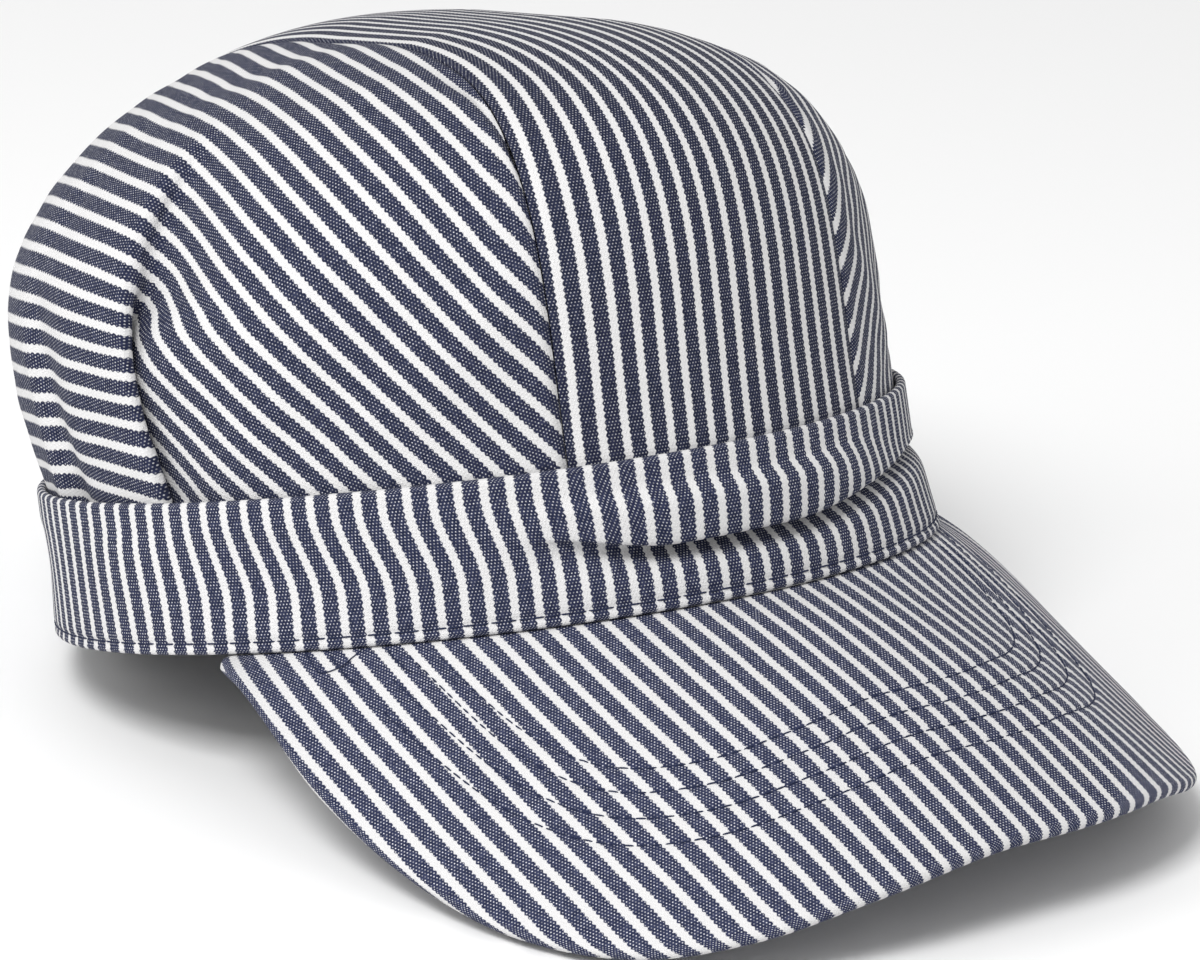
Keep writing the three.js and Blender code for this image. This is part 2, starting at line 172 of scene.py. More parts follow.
def sheet_object(name, grid, cloth_uv, material, ring_i=False, ring_j=False, body="root"):
    """A mesh of quads (i, j) (i+1, j) (i+1, j+1) (i, j+1) over the whole grid."""
    rows, columns = grid.shape[:2]
    steps_i = rows if ring_i else rows - 1
    steps_j = columns if ring_j else columns - 1
    i, j = np.meshgrid(np.arange(steps_i), np.arange(steps_j), indexing="ij")
    i, j = i.ravel(), j.ravel()
    next_i, next_j = i + 1, j + 1
    corners = np.stack([
        (i % rows) * columns + j % columns,
        (next_i % rows) * columns + j % columns,
        (next_i % rows) * columns + next_j % columns,
        (i % rows) * columns + next_j % columns,
    ], axis=1)
    mesh = bpy.data.meshes.new(name)
    points = to_frame(grid.reshape(-1, 3))
    points[:, 2] = np.maximum(points[:, 2], 0.0)
    mesh.vertices.add(len(points))
    mesh.vertices.foreach_set("co", points.astype(np.float32).ravel())
    mesh.loops.add(corners.size)
    mesh.loops.foreach_set("vertex_index", corners.astype(np.int32).ravel())
    mesh.polygons.add(len(corners))
    mesh.polygons.foreach_set("loop_start", np.arange(0, corners.size, 4, dtype=np.int32))
    mesh.update(calc_edges=True)
    layer = mesh.uv_layers.new(name="cloth")
    uv = np.stack([
        cloth_uv[i, j], cloth_uv[next_i, j], cloth_uv[next_i, next_j], cloth_uv[i, next_j],
    ], axis=1)
    layer.data.foreach_set("uv", (uv * MM).astype(np.float32).ravel())
    obj = smooth_object(name, mesh, material)
    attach(obj, body)
    print(name, "has", 2 * len(corners), "triangles")
    return obj


def to_frame(points):
    """Tips the upright cap about its X axis and moves it to its place, in metres."""
    tilt = np.radians(REST_TILT)
    turned = np.stack([
        points[..., 0],
        points[..., 1] * np.cos(tilt) + points[..., 2] * np.sin(tilt),
        points[..., 2] * np.cos(tilt) - points[..., 1] * np.sin(tilt),
    ], axis=-1)
    return (turned + REST_PLACE) * MM


print("front of the band in the frame:", to_frame(np.array([0.0, -mean_radius, 0.0])).round(4))

# %% [markdown]
# The camera comes early. It was worked out from the photograph by matching
# the band's two edges and its stripes: the camera stands in front of the
# wearer's right, a little above, far away with a long lens, and the lens's
# length follows from its reach in pixels over a frame 1200 pixels wide.

# %% Camera
CAMERA_TURN = -35.526
CAMERA_RISE = 6.998
CAMERA_ROLL = -6.908
CAMERA_DISTANCE = 1400.0
CAMERA_AIM_RIGHT = 22.920
CAMERA_AIM_UP = 19.977
CAMERA_REACH_PIXELS = 6478.0
PHOTO_WIDTH = 1200
PHOTO_HEIGHT = 960
SENSOR_WIDTH = 36.0
CAMERA_FAR_END = 20.0


def camera_axes():
    """Right, up and back of the camera, in the upright cap's own directions."""
    turn, rise, roll = np.radians([CAMERA_TURN, CAMERA_RISE, CAMERA_ROLL])
    back = np.array([np.sin(turn) * np.cos(rise), -np.cos(turn) * np.cos(rise), np.sin(rise)])
    level_right = unit(np.cross(-back, [0.0, 0.0, 1.0]))
    level_up = np.cross(level_right, -back)
    right = level_right * np.cos(roll) + level_up * np.sin(roll)
    up = level_up * np.cos(roll) - level_right * np.sin(roll)
    return right, up, back


def camera_eye():
    """Back times the distance, moved sideways to the photo's aim."""
    right, up, back = camera_axes()
    return back * CAMERA_DISTANCE + right * CAMERA_AIM_RIGHT + up * CAMERA_AIM_UP


def make_camera():
    """A camera at the eye, with the lens that gives the photo's reach in pixels."""
    origin = to_frame(np.zeros(3))
    columns = [(to_frame(axis) - origin) / MM for axis in camera_axes()]
    data = bpy.data.cameras.new("camera")
    data.sensor_width = SENSOR_WIDTH
    data.lens = CAMERA_REACH_PIXELS * SENSOR_WIDTH / PHOTO_WIDTH
    data.clip_end = CAMERA_FAR_END
    camera = bpy.data.objects.new("camera", data)
    placed = np.eye(4)
    placed[:3, :3] = np.stack(columns, axis=1)
    placed[:3, 3] = to_frame(camera_eye())
    camera.matrix_world = Matrix(placed.tolist())
    bpy.context.collection.objects.link(camera)
    bpy.context.scene.camera = camera
    return camera


camera = make_camera()
print("camera height over the floor:", round(camera.matrix_world.translation.z, 3), "m")

# %% [markdown]
# Materials are built from nodes. Short functions keep the formulas below
# readable: they set a table of inputs, take one step of arithmetic or a smooth
# step, mix two colours, and let a height tip the normals. A noise read at a
# place on the cloth gives small unevenness.

# %% Node helpers
def set_inputs(node, values):
    """Gives the inputs of a node their values, by name."""
    for name, value in values.items():
        node.inputs[name].default_value = value


def new_material(name):
    """An empty node material with its shader and output in place."""
    material = bpy.data.materials.new(name)
    material.use_nodes = True
    nodes = material.node_tree.nodes
    nodes.clear()
    shader = nodes.new("ShaderNodeBsdfPrincipled")
    output = nodes.new("ShaderNodeOutputMaterial")
    material.node_tree.links.new(shader.outputs["BSDF"], output.inputs["Surface"])
    return material, shader


def math_node(tree, operation, first, second=None, third=None):
    """One Math node. Numbers are set on it, sockets are linked to it."""
    node = tree.nodes.new("ShaderNodeMath")
    node.operation = operation
    for socket, value in zip(node.inputs, (first, second, third)):
        if value is None:
            continue
        if isinstance(value, (int, float)):
            socket.default_value = value
        else:
            tree.links.new(value, socket)
    return node.outputs[0]


def one_less(tree, value):
    """One less a socket's value."""
    return math_node(tree, "SUBTRACT", 1.0, value)


def centred(tree, share, width):
    """A share from zero to one, moved to lie about zero and stretched to a width."""
    return math_node(tree, "MULTIPLY", math_node(tree, "SUBTRACT", share, 0.5), width)


def ramp_between(tree, value, low, high):
    """A smooth step of a socket between two numbers."""
    node = tree.nodes.new("ShaderNodeMapRange")
    node.interpolation_type = "SMOOTHSTEP"
    set_inputs(node, {"From Min": low, "From Max": high})
    tree.links.new(value, node.inputs["Value"])
    return node.outputs["Result"]


def mix_colors(tree, share, first, second):
    """A mix of two colours, each a tuple or a socket."""
    node = tree.nodes.new("ShaderNodeMix")
    node.data_type = "RGBA"
    tree.links.new(share, node.inputs["Factor"])
    for socket, value in ((node.inputs[6], first), (node.inputs[7], second)):
        if isinstance(value, tuple):
            socket.default_value = (*value, 1.0)
        else:
            tree.links.new(value, socket)
    return node.outputs[2]


def noise_node(tree, vector, scale, detail=2.0):
    """A noise of the given scale, read at a vector."""
    node = tree.nodes.new("ShaderNodeTexNoise")
    set_inputs(node, {"Scale": scale, "Detail": detail})
    tree.links.new(vector, node.inputs["Vector"])
    return node.outputs["Fac"]


def tip_normals(tree, shader, height, strength, depth):
    """Bump. The slopes of a height, in units of the depth, tip the shader's normals."""
    bump = tree.nodes.new("ShaderNodeBump")
    set_inputs(bump, {"Strength": strength, "Distance": depth})
    tree.links.new(height, bump.inputs["Height"])
    tree.links.new(bump.outputs["Normal"], shader.inputs["Normal"])


print("node helpers ready")

# %% [markdown]
# The woven stripe. Hickory stripe is a twill: blue and white threads run along
# the stripes, and undyed threads cross them, so the blue shows rows of small
# light dots on a slant, and the white shows fine slanted ribs. The material
# reads the flat cloth's place in metres, with X across the stripes and Y along
# them. A lattice of cells as wide as two threads gives the dots, each row
# shifted by a part of a cell, and the same lattice bends the stripe's edges,
# which step from thread to thread. The threads aren't even, so each dot is
# dimmed by its own share of chance. A picture of cloth would be quicker, but
# it would blur close up and would not fold round the pleats.

# %% The woven cotton
CELL_ACROSS = 0.74
CELL_ALONG = 0.66
ROW_SHIFT = 0.38
DOT_STRETCH_ACROSS = 1.55
DOT_STRETCH_ALONG = 1.35
DOT_EDGE = (0.14, 0.44)
EDGE_STEP = 0.17
EDGE_WANDER = 0.5
EDGE_SOFTNESS = 0.10
WANDER_SCALE = 60.0
PATCH_SCALE = 900.0
PATCH_DETAIL = 4.0
PATCH_EDGE = (0.35, 0.72)
RIB_DEPTH = 0.50
WEAVE_DEPTH = 0.0003
WEAVE_STRENGTH = 0.55
DOT_BUMP = 0.8
PATCH_BUMP = 0.6
WHITE_SHARE = 0.35
NAVY = (0.0115, 0.0150, 0.039)
NAVY_WORN = (0.0270, 0.0320, 0.068)
DOT = (0.60, 0.60, 0.63)
LEAST_DOT = 0.25
WHITE = (0.74, 0.73, 0.725)
WHITE_SHADE = (0.49, 0.49, 0.50)
COTTON_SURFACE = {
    "Roughness": 0.92, "Specular IOR Level": 0.12, "Sheen Weight": 0.02, "Sheen Roughness": 0.6,
}
# The last number of each use scales the blue. The strip's 0.82 is painted shade, because the strip
# gets less light than the sides. The band and the peak are made lighter.
COTTON_USES = [
    {"piece": "band", "phase": 0.1, "tone_and_painted_shade": 1.1},
    {"piece": "strip", "phase": 0.42, "tone_and_painted_shade": 0.82},
    {"piece": "panel", "phase": 0.0, "tone_and_painted_shade": 1.0},
    {"piece": "peak", "phase": 0.0, "tone_and_painted_shade": 1.3},
]


def striped_cotton(name, phase, tone_and_painted_shade=1.0):
    """Stripes every STRIPE_PITCH, white where the distance to a whole number of
    pitches is under half the white share, with twill dots and ribs in both.

    The last argument multiplies the blue thread's brightness and that of the dots in it.
    On the middle strip it is below one: painted shade, for the strip's lesser light.
    On the band and the peak it is above one and makes their blue lighter.
    """
    # The blue, its worn patches and its dots are scaled by the piece's tone. On the strip this is
    # painted shade.
    dark, worn, dot = (tuple(tone_and_painted_shade * part for part in tone) for tone in (NAVY, NAVY_WORN, DOT))
    material, shader = new_material(name)
    tree = material.node_tree
    uv_node = tree.nodes.new("ShaderNodeUVMap")
    uv_node.uv_map = "cloth"
    split = tree.nodes.new("ShaderNodeSeparateXYZ")
    tree.links.new(uv_node.outputs["UV"], split.inputs[0])
    across = math_node(tree, "MULTIPLY", split.outputs["X"], 1 / MM)
    along = math_node(tree, "MULTIPLY", split.outputs["Y"], 1 / MM)

    rows = math_node(tree, "DIVIDE", along, CELL_ALONG)
    row = math_node(tree, "FLOOR", rows)
    cells = math_node(tree, "DIVIDE", across, CELL_ACROSS)
    shifted = math_node(tree, "MULTIPLY_ADD", row, ROW_SHIFT, cells)
    dot_x = centred(tree, math_node(tree, "FRACT", shifted), DOT_STRETCH_ACROSS)
    dot_y = centred(tree, math_node(tree, "FRACT", rows), DOT_STRETCH_ALONG)
    squares = [math_node(tree, "MULTIPLY", part, part) for part in (dot_x, dot_y)]
    dot_far = math_node(tree, "SQRT", math_node(tree, "ADD", *squares))
    dots = one_less(tree, ramp_between(tree, dot_far, *DOT_EDGE))
    cell = tree.nodes.new("ShaderNodeCombineXYZ")
    tree.links.new(math_node(tree, "FLOOR", shifted), cell.inputs["X"])
    tree.links.new(row, cell.inputs["Y"])
    chance = tree.nodes.new("ShaderNodeTexWhiteNoise")
    tree.links.new(cell.outputs["Vector"], chance.inputs["Vector"])
    shown = math_node(tree, "MULTIPLY_ADD", chance.outputs["Value"], 1 - LEAST_DOT, LEAST_DOT)

    wander = noise_node(tree, uv_node.outputs["UV"], WANDER_SCALE)
    drift = centred(tree, wander, EDGE_WANDER)
    ragged = math_node(tree, "SINE", math_node(tree, "MULTIPLY", along, np.pi / CELL_ALONG))
    wobble = math_node(tree, "MULTIPLY_ADD", ragged, EDGE_STEP, drift)
    stripe_at = math_node(tree, "ADD", math_node(tree, "ADD", across, phase), wobble)
    stripe = math_node(tree, "PINGPONG", stripe_at, STRIPE_PITCH / 2)
    edge = STRIPE_PITCH * WHITE_SHARE / 2
    beyond = ramp_between(tree, stripe, edge - EDGE_SOFTNESS, edge + EDGE_SOFTNESS)
    white_part = one_less(tree, beyond)

    patches = noise_node(tree, uv_node.outputs["UV"], PATCH_SCALE, PATCH_DETAIL)
    navy = mix_colors(tree, ramp_between(tree, patches, *PATCH_EDGE), dark, worn)
    navy = mix_colors(tree, math_node(tree, "MULTIPLY", dots, shown), navy, dot)
    ribs = math_node(tree, "MULTIPLY", one_less(tree, dots), RIB_DEPTH)
    white = mix_colors(tree, ribs, WHITE, WHITE_SHADE)
    colour = mix_colors(tree, white_part, navy, white)
    tree.links.new(colour, shader.inputs["Base Color"])

    uneven = math_node(tree, "MULTIPLY", patches, PATCH_BUMP)
    height = math_node(tree, "MULTIPLY_ADD", dots, DOT_BUMP, uneven)
    tip_normals(tree, shader, height, WEAVE_STRENGTH, WEAVE_DEPTH)
    set_inputs(shader, COTTON_SURFACE)
    return material


cottons = {}
for use in COTTON_USES:
    name = use["piece"] + "_striped_cotton"
    cottons[use["piece"]] = striped_cotton(name, use["phase"] * STRIPE_PITCH, use["tone_and_painted_shade"])
print("stripe pitch", STRIPE_PITCH, "mm, white share", WHITE_SHARE)

# %% [markdown]
# The band's outline. Seen from above, the band is a smooth closed curve given
# by its support function, which is the distance from the middle to the tangent
# line whose normal points at each angle. Adding an even amount to that distance
# gives a curve an even distance further out, which suits layers of cloth.

# %% The band's outline
EGG = 0.011
SQUARE = 0.012


def outline(angle, inset=0.0):
    """support * normal + slope of the support * tangent, in the plane."""
    reach = mean_radius * (1 + EGG * np.cos(3 * angle) + SQUARE * np.cos(4 * angle)) - inset
    turn = -mean_radius * (3 * EGG * np.sin(3 * angle) + 4 * SQUARE * np.sin(4 * angle))
    return np.stack([
        -reach * np.sin(angle) - turn * np.cos(angle),
        -reach * np.cos(angle) + turn * np.sin(angle),
    ], axis=-1)


def with_height(plan, height):
    """Adds a height to points of a plan."""
    return np.concatenate([plan, np.broadcast_to(height, plan.shape[:-1])[..., None]], axis=-1)


print("half widths:", np.abs(outline(np.radians([0.0, 90.0, 180.0]))).max(axis=-1).round(1))

# %% [markdown]
# The crown's dome. One smooth dome carries the middle strip and both side
# panels. Its plan share falls and its rise grows along a quarter turn called
# the climb, each by a power of a cosine or sine, which makes the shoulders
# squarer than an ellipse's. The powers change a little round the head.

# %% The crown's dome
DOME_PLAN = {"mean": 2.38, "front": 0.17, "ends": 0.53}
DOME_SIDE = {"mean": 3.48, "front": 0.29, "ends": 0.17}
DOME_SWELL = {"mean": 0.029, "front": -0.039, "ends": 0.004, "right": 0.023}
DOME_SHIFT = {"left": 0.036, "front": 0.075}
DOME_SLOPE = {"left": 0.046, "back": -0.086}


def round_share(shares, angle):
    """mean + front cos(a) + ends cos(2a) + right sin(a)."""
    return (shares["mean"] + shares["front"] * np.cos(angle) + shares["ends"] * np.cos(2 * angle)
            + shares.get("right", 0.0) * np.sin(angle))


def plan_share(angle, climb):
    """How far out the dome is, as a share of the band's outline."""
    return np.cos(np.clip(climb, 0.0, np.pi / 2)) ** (2 / round_share(DOME_PLAN, angle))


def rise_share(angle, climb):
    """How high the dome is, as a share of the crown's rise."""
    return np.sin(np.clip(climb, 0.0, np.pi / 2)) ** (2 / round_share(DOME_SIDE, angle))


def dome(angle, climb, lift=0.0):
    """The outline times the plan share, swollen in the wall, leaned at the top.

    The lift moves a point away from the middle, less where the dome closes.
    """
    share = plan_share(angle, climb)
    rise = rise_share(angle, climb)
    swell = round_share(DOME_SWELL, angle) * np.sin(np.pi * rise) * share ** 2
    base = outline(angle, BAND_CLOTH + SEAM_GAP)
    plan = base * (share * (1 + swell))[..., None] + unit(base) * (lift * share)[..., None]
    fall = DOME_SLOPE["left"] * plan[..., 0] + DOME_SLOPE["back"] * plan[..., 1]
    slope = 1 - fall / mean_radius
    shift = np.array([DOME_SHIFT["left"], -DOME_SHIFT["front"]])
    lean = mean_radius * (rise ** 2)[..., None] * shift
    hem = np.minimum(climb, 0.0) * CROWN_TUCK
    return with_height(plan + lean, BAND_HEIGHT + CROWN_RISE * rise * slope + hem)


def dome_normals(angle, climb):
    """Cross product of the slopes of the dome round the head and up the climb."""
    nudge = 0.004
    held = np.clip(climb, nudge, np.pi / 2 - 2 * nudge)
    around = dome(angle - nudge, held) - dome(angle + nudge, held)
    up = dome(angle, held + nudge) - dome(angle, held - nudge)
    return unit(np.cross(around, up))


print("top of the dome:", dome(np.array(0.0), np.array(np.pi / 2)).round(1))

# %% [markdown]
# The seams. A seam keeps its distance from the middle line of the cap. There
# is no formula for the climb or the angle at which a line of the dome reaches
# that distance, so both are found by halving an interval, for a whole array
# of lines at once.

# %% Places on the seams
SEAM_LEAN = 0.05
SEAM_NARROW = 0.32
HALVINGS = 40


def halve(low, high, reached):
    """Halves an interval again and again towards the place where reached turns true."""
    start = np.asarray(low, dtype=float)
    end = np.asarray(high, dtype=float)
    for _ in range(HALVINGS):
        middle = (start + end) / 2
        hit = reached(middle)
        end = np.where(hit, middle, end)
        start = np.where(hit, start, middle)
    return start


def seam_lean(angle, climb):
    """The seams' distance as a share of half the strip: both lean a little to
    the wearer's left at the band, and the right one comes closer at the top."""
    rise = rise_share(angle, climb)
    right = 1 - SEAM_LEAN * (1 - rise) - SEAM_NARROW * rise ** 6
    left = 1 + SEAM_LEAN * (1 - rise ** 2)
    return np.where(np.asarray(angle) > 0, right, left)


def sideways(angle, climb):
    """Distance of a dome point's plan from the middle line, leaned with the seams."""
    plain = np.abs(outline(angle, BAND_CLOTH + SEAM_GAP)[..., 0]) * plan_share(angle, climb)
    return plain / seam_lean(angle, climb)


def seam_climb(angle, distance):
    """The climb at which the line at an angle comes within a distance."""
    zero = np.zeros(np.broadcast(angle, distance).shape)
    return halve(zero, zero + np.pi / 2, lambda climb: sideways(angle, climb) < distance)


def seam_angle(climb, distance, side, back):
    """The angle at which a level line leaves a distance, in front or at the back."""
    def turned(turn):
        return side * (np.pi - turn if back else turn)

    def outside(turn):
        return sideways(turned(turn), climb) > distance

    zero = np.zeros(np.broadcast(climb, distance).shape)
    return turned(halve(zero, zero + np.pi / 2, outside))


hem_angle = np.degrees(seam_angle(0.0, STRIP_WIDTH / 2, 1, False))
print("front seam at the hem:", hem_angle.round(1), "degrees")

# %% [markdown]
# Closing a sheet. Every sheet gets a copy of itself, moved inward by the
# cloth's thickness, and both are joined into one loop over the section. The
# two walls meet in a half round, as folded cloth does, and not in a sharp
# step. Where a sheet also has two ends, each end gets one more line of points
# drawn together in the middle of the cloth, which closes it.

# %% Two-sided cloth
def two_sided(outer, normals, thickness, turn_steps=1):
    """The outer grid, a half round, the inner grid walked back, a half round.

    A half round is middle + normal cos(t) half + outward sin(t) half.
    """
    inner = outer - thickness * normals
    turns = np.pi * (np.arange(turn_steps) + 1) / (turn_steps + 1)

    def half_round(edge, normal, beyond, angles):
        away = unit(edge - beyond)[:, None]
        middle = (edge - normal * thickness / 2)[:, None]
        across = normal[:, None] * np.cos(angles)[:, None]
        return middle + (across + away * np.sin(angles)[:, None]) * thickness / 2

    end = half_round(outer[:, -1], normals[:, -1], outer[:, -2], turns)
    start = half_round(outer[:, 0], normals[:, 0], outer[:, 1], turns[::-1])
    return np.concatenate([outer, end, inner[:, ::-1], start], axis=1)


def two_sided_uv(uv, turn_steps=1, thickness=0.0):
    """The same walk over the flat cloth, and the start again to close the loop.

    On a thick edge the cloth goes on round it, an arc's length past the edge.
    """
    arc = np.pi * thickness / 2 * (1 - np.abs(np.linspace(-1, 1, turn_steps + 2)[1:-1]))
    end = uv[:, -1:] + unit(uv[:, -1:] - uv[:, -2:-1]) * arc[:, None]
    start = uv[:, :1] + unit(uv[:, :1] - uv[:, 1:2]) * arc[:, None]
    return np.concatenate([uv, end, uv[:, ::-1], start, uv[:, :1]], axis=1)


def close_ends(grid, uv, turn_steps=1):
    """Adds a line at each end, where each point is halfway to the opposite wall."""
    walls = grid.shape[1] - turn_steps
    partner = np.concatenate([
        walls - 1 - np.arange(walls),
        walls + turn_steps - 1 - np.arange(turn_steps),
    ])
    first = (grid[0] + grid[0][partner]) / 2
    last = (grid[-1] + grid[-1][partner]) / 2
    closed = np.concatenate([first[None], grid, last[None]])
    return closed, np.concatenate([uv[:1], uv, uv[-1:]])


print("a sheet's section has two walls and two half rounds")

# %% [markdown]
# The middle strip of the crown. Each line runs from the front hem over the top
# to the back hem at its own distance from the middle. The strip bends in one
# direction only, so the flat cloth's place is simply the distance across and
# the distance walked along each line from the front hem. The lines differ in
# length, so this is evened out over the top, and the rows of the weave stay
# level at both hems. Beside each seam the cloth dips a little, because the
# seam's layers pull it in.

# %% The middle strip
SEAM_DIP = 0.55
SEAM_DIP_WIDTH = 1.6
STRIP_ACROSS = 56
STRIP_ALONG = 170
STRIP_STRIPES = 16.2
STRIP_CROWDING = 0.98
CLIMB_POWER = 1.7
EVENED_FROM = 0.3
EVENED_TO = 0.8


def strip_parameters():
    """Angles, climbs and places across for the strip's grid.

    The climb is the top's times (1 - share^2)^1.7, which spreads the points
    evenly over the steep wall. The columns crowd towards the seams by a sine.
    """
    reach = STRIP_WIDTH / 2 - SEAM_GAP / 2
    spread = np.sin(np.linspace(-np.pi / 2, np.pi / 2, STRIP_ACROSS + 1) * STRIP_CROWDING)
    place = -reach * spread / np.sin(np.pi / 2 * STRIP_CROWDING)
    share = np.concatenate([[-1.0], np.linspace(-1, 1, STRIP_ALONG + 1), [1.0]])
    place, share = np.meshgrid(place, share, indexing="ij")
    side = np.where(place > 0, 1.0, -1.0)
    top = seam_climb(side * np.pi / 2, np.abs(place))
    climb = top * (1 - share ** 2) ** CLIMB_POWER
    angle = np.where(
        share > 0,
        seam_angle(climb, np.abs(place), side, True),
        seam_angle(climb, np.abs(place), side, False),
    )
    climb[:, [0, -1]] = -1.0
    return angle, climb, place


def make_strip():
    """The strip's points, dipped beside the seams, closed into a sheet."""
    angle, climb, place = strip_parameters()
    reach = STRIP_WIDTH / 2 - SEAM_GAP / 2
    normals = dome_normals(angle, climb)
    dip = SEAM_DIP * bell(reach - np.abs(place), SEAM_DIP_WIDTH)
    outer = dome(angle, climb) - dip[..., None] * normals
    width = STRIP_STRIPES * STRIPE_PITCH
    u = place / (2 * reach) * width
    walked = run_lengths(outer, 1)
    whole = walked[:, -1:]
    slack = whole[STRIP_ACROSS // 2] - whole
    uv = np.stack([u, walked + slack * smooth(EVENED_FROM, EVENED_TO, walked / whole)], axis=-1)
    grid = two_sided(outer, normals, CROWN_CLOTH)
    grid, uv = close_ends(grid, two_sided_uv(uv))
    measured = run_lengths(outer, 0)[-1]
    print("middle strip: width over the surface up to", measured.max().round(1), "mm")
    return sheet_object("crown_strip_cloth", grid, uv, cottons["strip"], ring_j=True)


strip = make_strip()
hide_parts("crown_middle_strip")

# %% [markdown]
# Laying a curved sheet flat. To know which way the stripes run on a pleated
# panel, the panel has to be laid flat, as the pattern maker had it. The cloth
# doesn't stretch, so each small triangle should keep its shape and only turn.
# The method takes turns: first each triangle finds the turn that suits it
# best, then one set of equations places all the points to suit all the turns.

# %% Flattening
FLATTEN_ROUNDS = 120
LEAST_WEIGHT = 0.05
MOST_WEIGHT = 20.0


def flatten(points):
    """Places in a plane for a grid of points, as rigid as possible.

    The equations weigh each edge by the cotangents of the angles opposite it.
    The first point is held, because without that they have no single answer.
    """
    rows, columns = points.shape[:2]
    index = np.arange(rows * columns).reshape(rows, columns)
    squares = (index[:-1, :-1], index[1:, :-1], index[1:, 1:], index[:-1, 1:])
    a, b, c, d = (part.ravel() for part in squares)
    faces = np.concatenate([np.stack([a, b, c], 1), np.stack([a, c, d], 1)])
    corners = points.reshape(-1, 3)[faces]
    base = corners[:, 1] - corners[:, 0]
    other = corners[:, 2] - corners[:, 0]
    length = np.linalg.norm(base, axis=1)
    own = np.zeros((len(faces), 3, 2))
    own[:, 1, 0] = length
    own[:, 2, 0] = (base * other).sum(axis=1) / length
    own[:, 2, 1] = np.linalg.norm(np.cross(base, other), axis=1) / length
    nexts = np.roll(own, -1, axis=1)
    opposite = np.roll(own, -2, axis=1)
    edges = nexts - own
    one = own - opposite
    two = nexts - opposite
    crossed = np.abs(one[..., 0] * two[..., 1] - one[..., 1] * two[..., 0])
    cotangent = (one * two).sum(axis=-1) / np.maximum(crossed, 1e-6)
    weight = np.clip(cotangent, LEAST_WEIGHT, MOST_WEIGHT)
    start_at = faces
    end_at = np.roll(faces, -1, axis=1)
    count = rows * columns
    matrix = np.zeros((count, count))
    for one_end, other_end, sign in ((start_at, start_at, 1), (end_at, end_at, 1),
                                     (start_at, end_at, -1), (end_at, start_at, -1)):
        np.add.at(matrix, (one_end.ravel(), other_end.ravel()), sign * weight.ravel())
    matrix[0, 0] += 1.0
    inverse = np.linalg.inv(matrix)
    middle = rows // 2
    across = run_lengths(points, 0)
    flat = np.stack([across - across[middle], run_lengths(points, 1)], axis=-1).reshape(-1, 2)
    for _ in range(FLATTEN_ROUNDS):
        now = flat[end_at] - flat[start_at]
        cosine = (weight * (edges * now).sum(axis=-1)).sum(axis=1)
        sine = (weight * (edges[..., 0] * now[..., 1] - edges[..., 1] * now[..., 0])).sum(axis=1)
        scale = np.maximum(np.hypot(cosine, sine), 1e-9)
        cosine, sine = (cosine / scale)[:, None], (sine / scale)[:, None]
        turned = np.stack([
            edges[..., 0] * cosine - edges[..., 1] * sine,
            edges[..., 0] * sine + edges[..., 1] * cosine,
        ], axis=-1) * weight[..., None]
        pull = np.stack([
            np.bincount(end_at.ravel(), turned[..., side].ravel(), count)
            - np.bincount(start_at.ravel(), turned[..., side].ravel(), count)
            for side in (0, 1)
        ], axis=-1)
        flat = inverse @ pull
    kept = np.linalg.norm(flat[end_at] - flat[start_at], axis=-1) / np.linalg.norm(edges, axis=-1)
    change = float(100 * np.abs(kept - 1).mean())
    print("laid flat, the cloth's lengths change by", round(change, 1), "% on average")
    return flat.reshape(rows, columns, 2)


def twice_as_fine(values):
    """Puts a point between each two, at 9/16 of both less 1/16 of the next ones."""
    def refine(grid):
        padded = np.concatenate([2 * grid[:1] - grid[1:2], grid, 2 * grid[-1:] - grid[-2:-1]])
        fine = np.empty((2 * grid.shape[0] - 1, *grid.shape[1:]))
        fine[::2] = grid
        fine[1::2] = (9 * (grid[:-1] + grid[1:]) - padded[:-3] - padded[3:]) / 16
        return fine

    return refine(refine(values).swapaxes(0, 1)).swapaxes(0, 1)


def laid_flat(points):
    """A fine grid's places in a plane, worked out for every fourth point."""
    return twice_as_fine(twice_as_fine(flatten(points[::4, ::4])))


print("flattening ready")

# %% [markdown]
# The side panels. Each panel is one cloth from the front seam to the back
# seam, with two pleats folded into it. Along a line round the head, the cloth
# passes a pleat on a path of an arc inward, a straight hidden stretch back and
# an arc outward, and the part behind the pleat overhangs the part before it.
# The path weakens with height until the cloth is smooth at the shoulder.

# %% The pleats
PLEATS = [
    {"angle": 77.0, "lean": 9.0, "depth": 1.0, "height": 0.82, "hold": 1.0},
    {"angle": 107.0, "lean": 8.0, "depth": 0.55, "height": 0.84, "hold": 0.22},
]
PLEAT_FOLD = 13.0
LEAST_FOLD = 1.0
PLEAT_EDGE_ARC = 5.2
PLEAT_HOLLOW_ARC = 4.4
FOLD_SHARE = 0.62
FOLD_OPENS = (0.30, 0.64)
RIDGE_FADES = (0.74, 1.14)
FULL_TURN = 0.75
FULL_FOLD = (0.5, 1.0)
RISE_TO_PLEAT = {"from": 0.45, "power": 1.5}
HOLLOW_STEPS, FOLD_STEPS, EDGE_STEPS = 8, 4, 8
FRONT_STEPS, BETWEEN_STEPS, BACK_STEPS = 44, 24, 36
PANEL_UP = 80
HEM_ROWS = 4


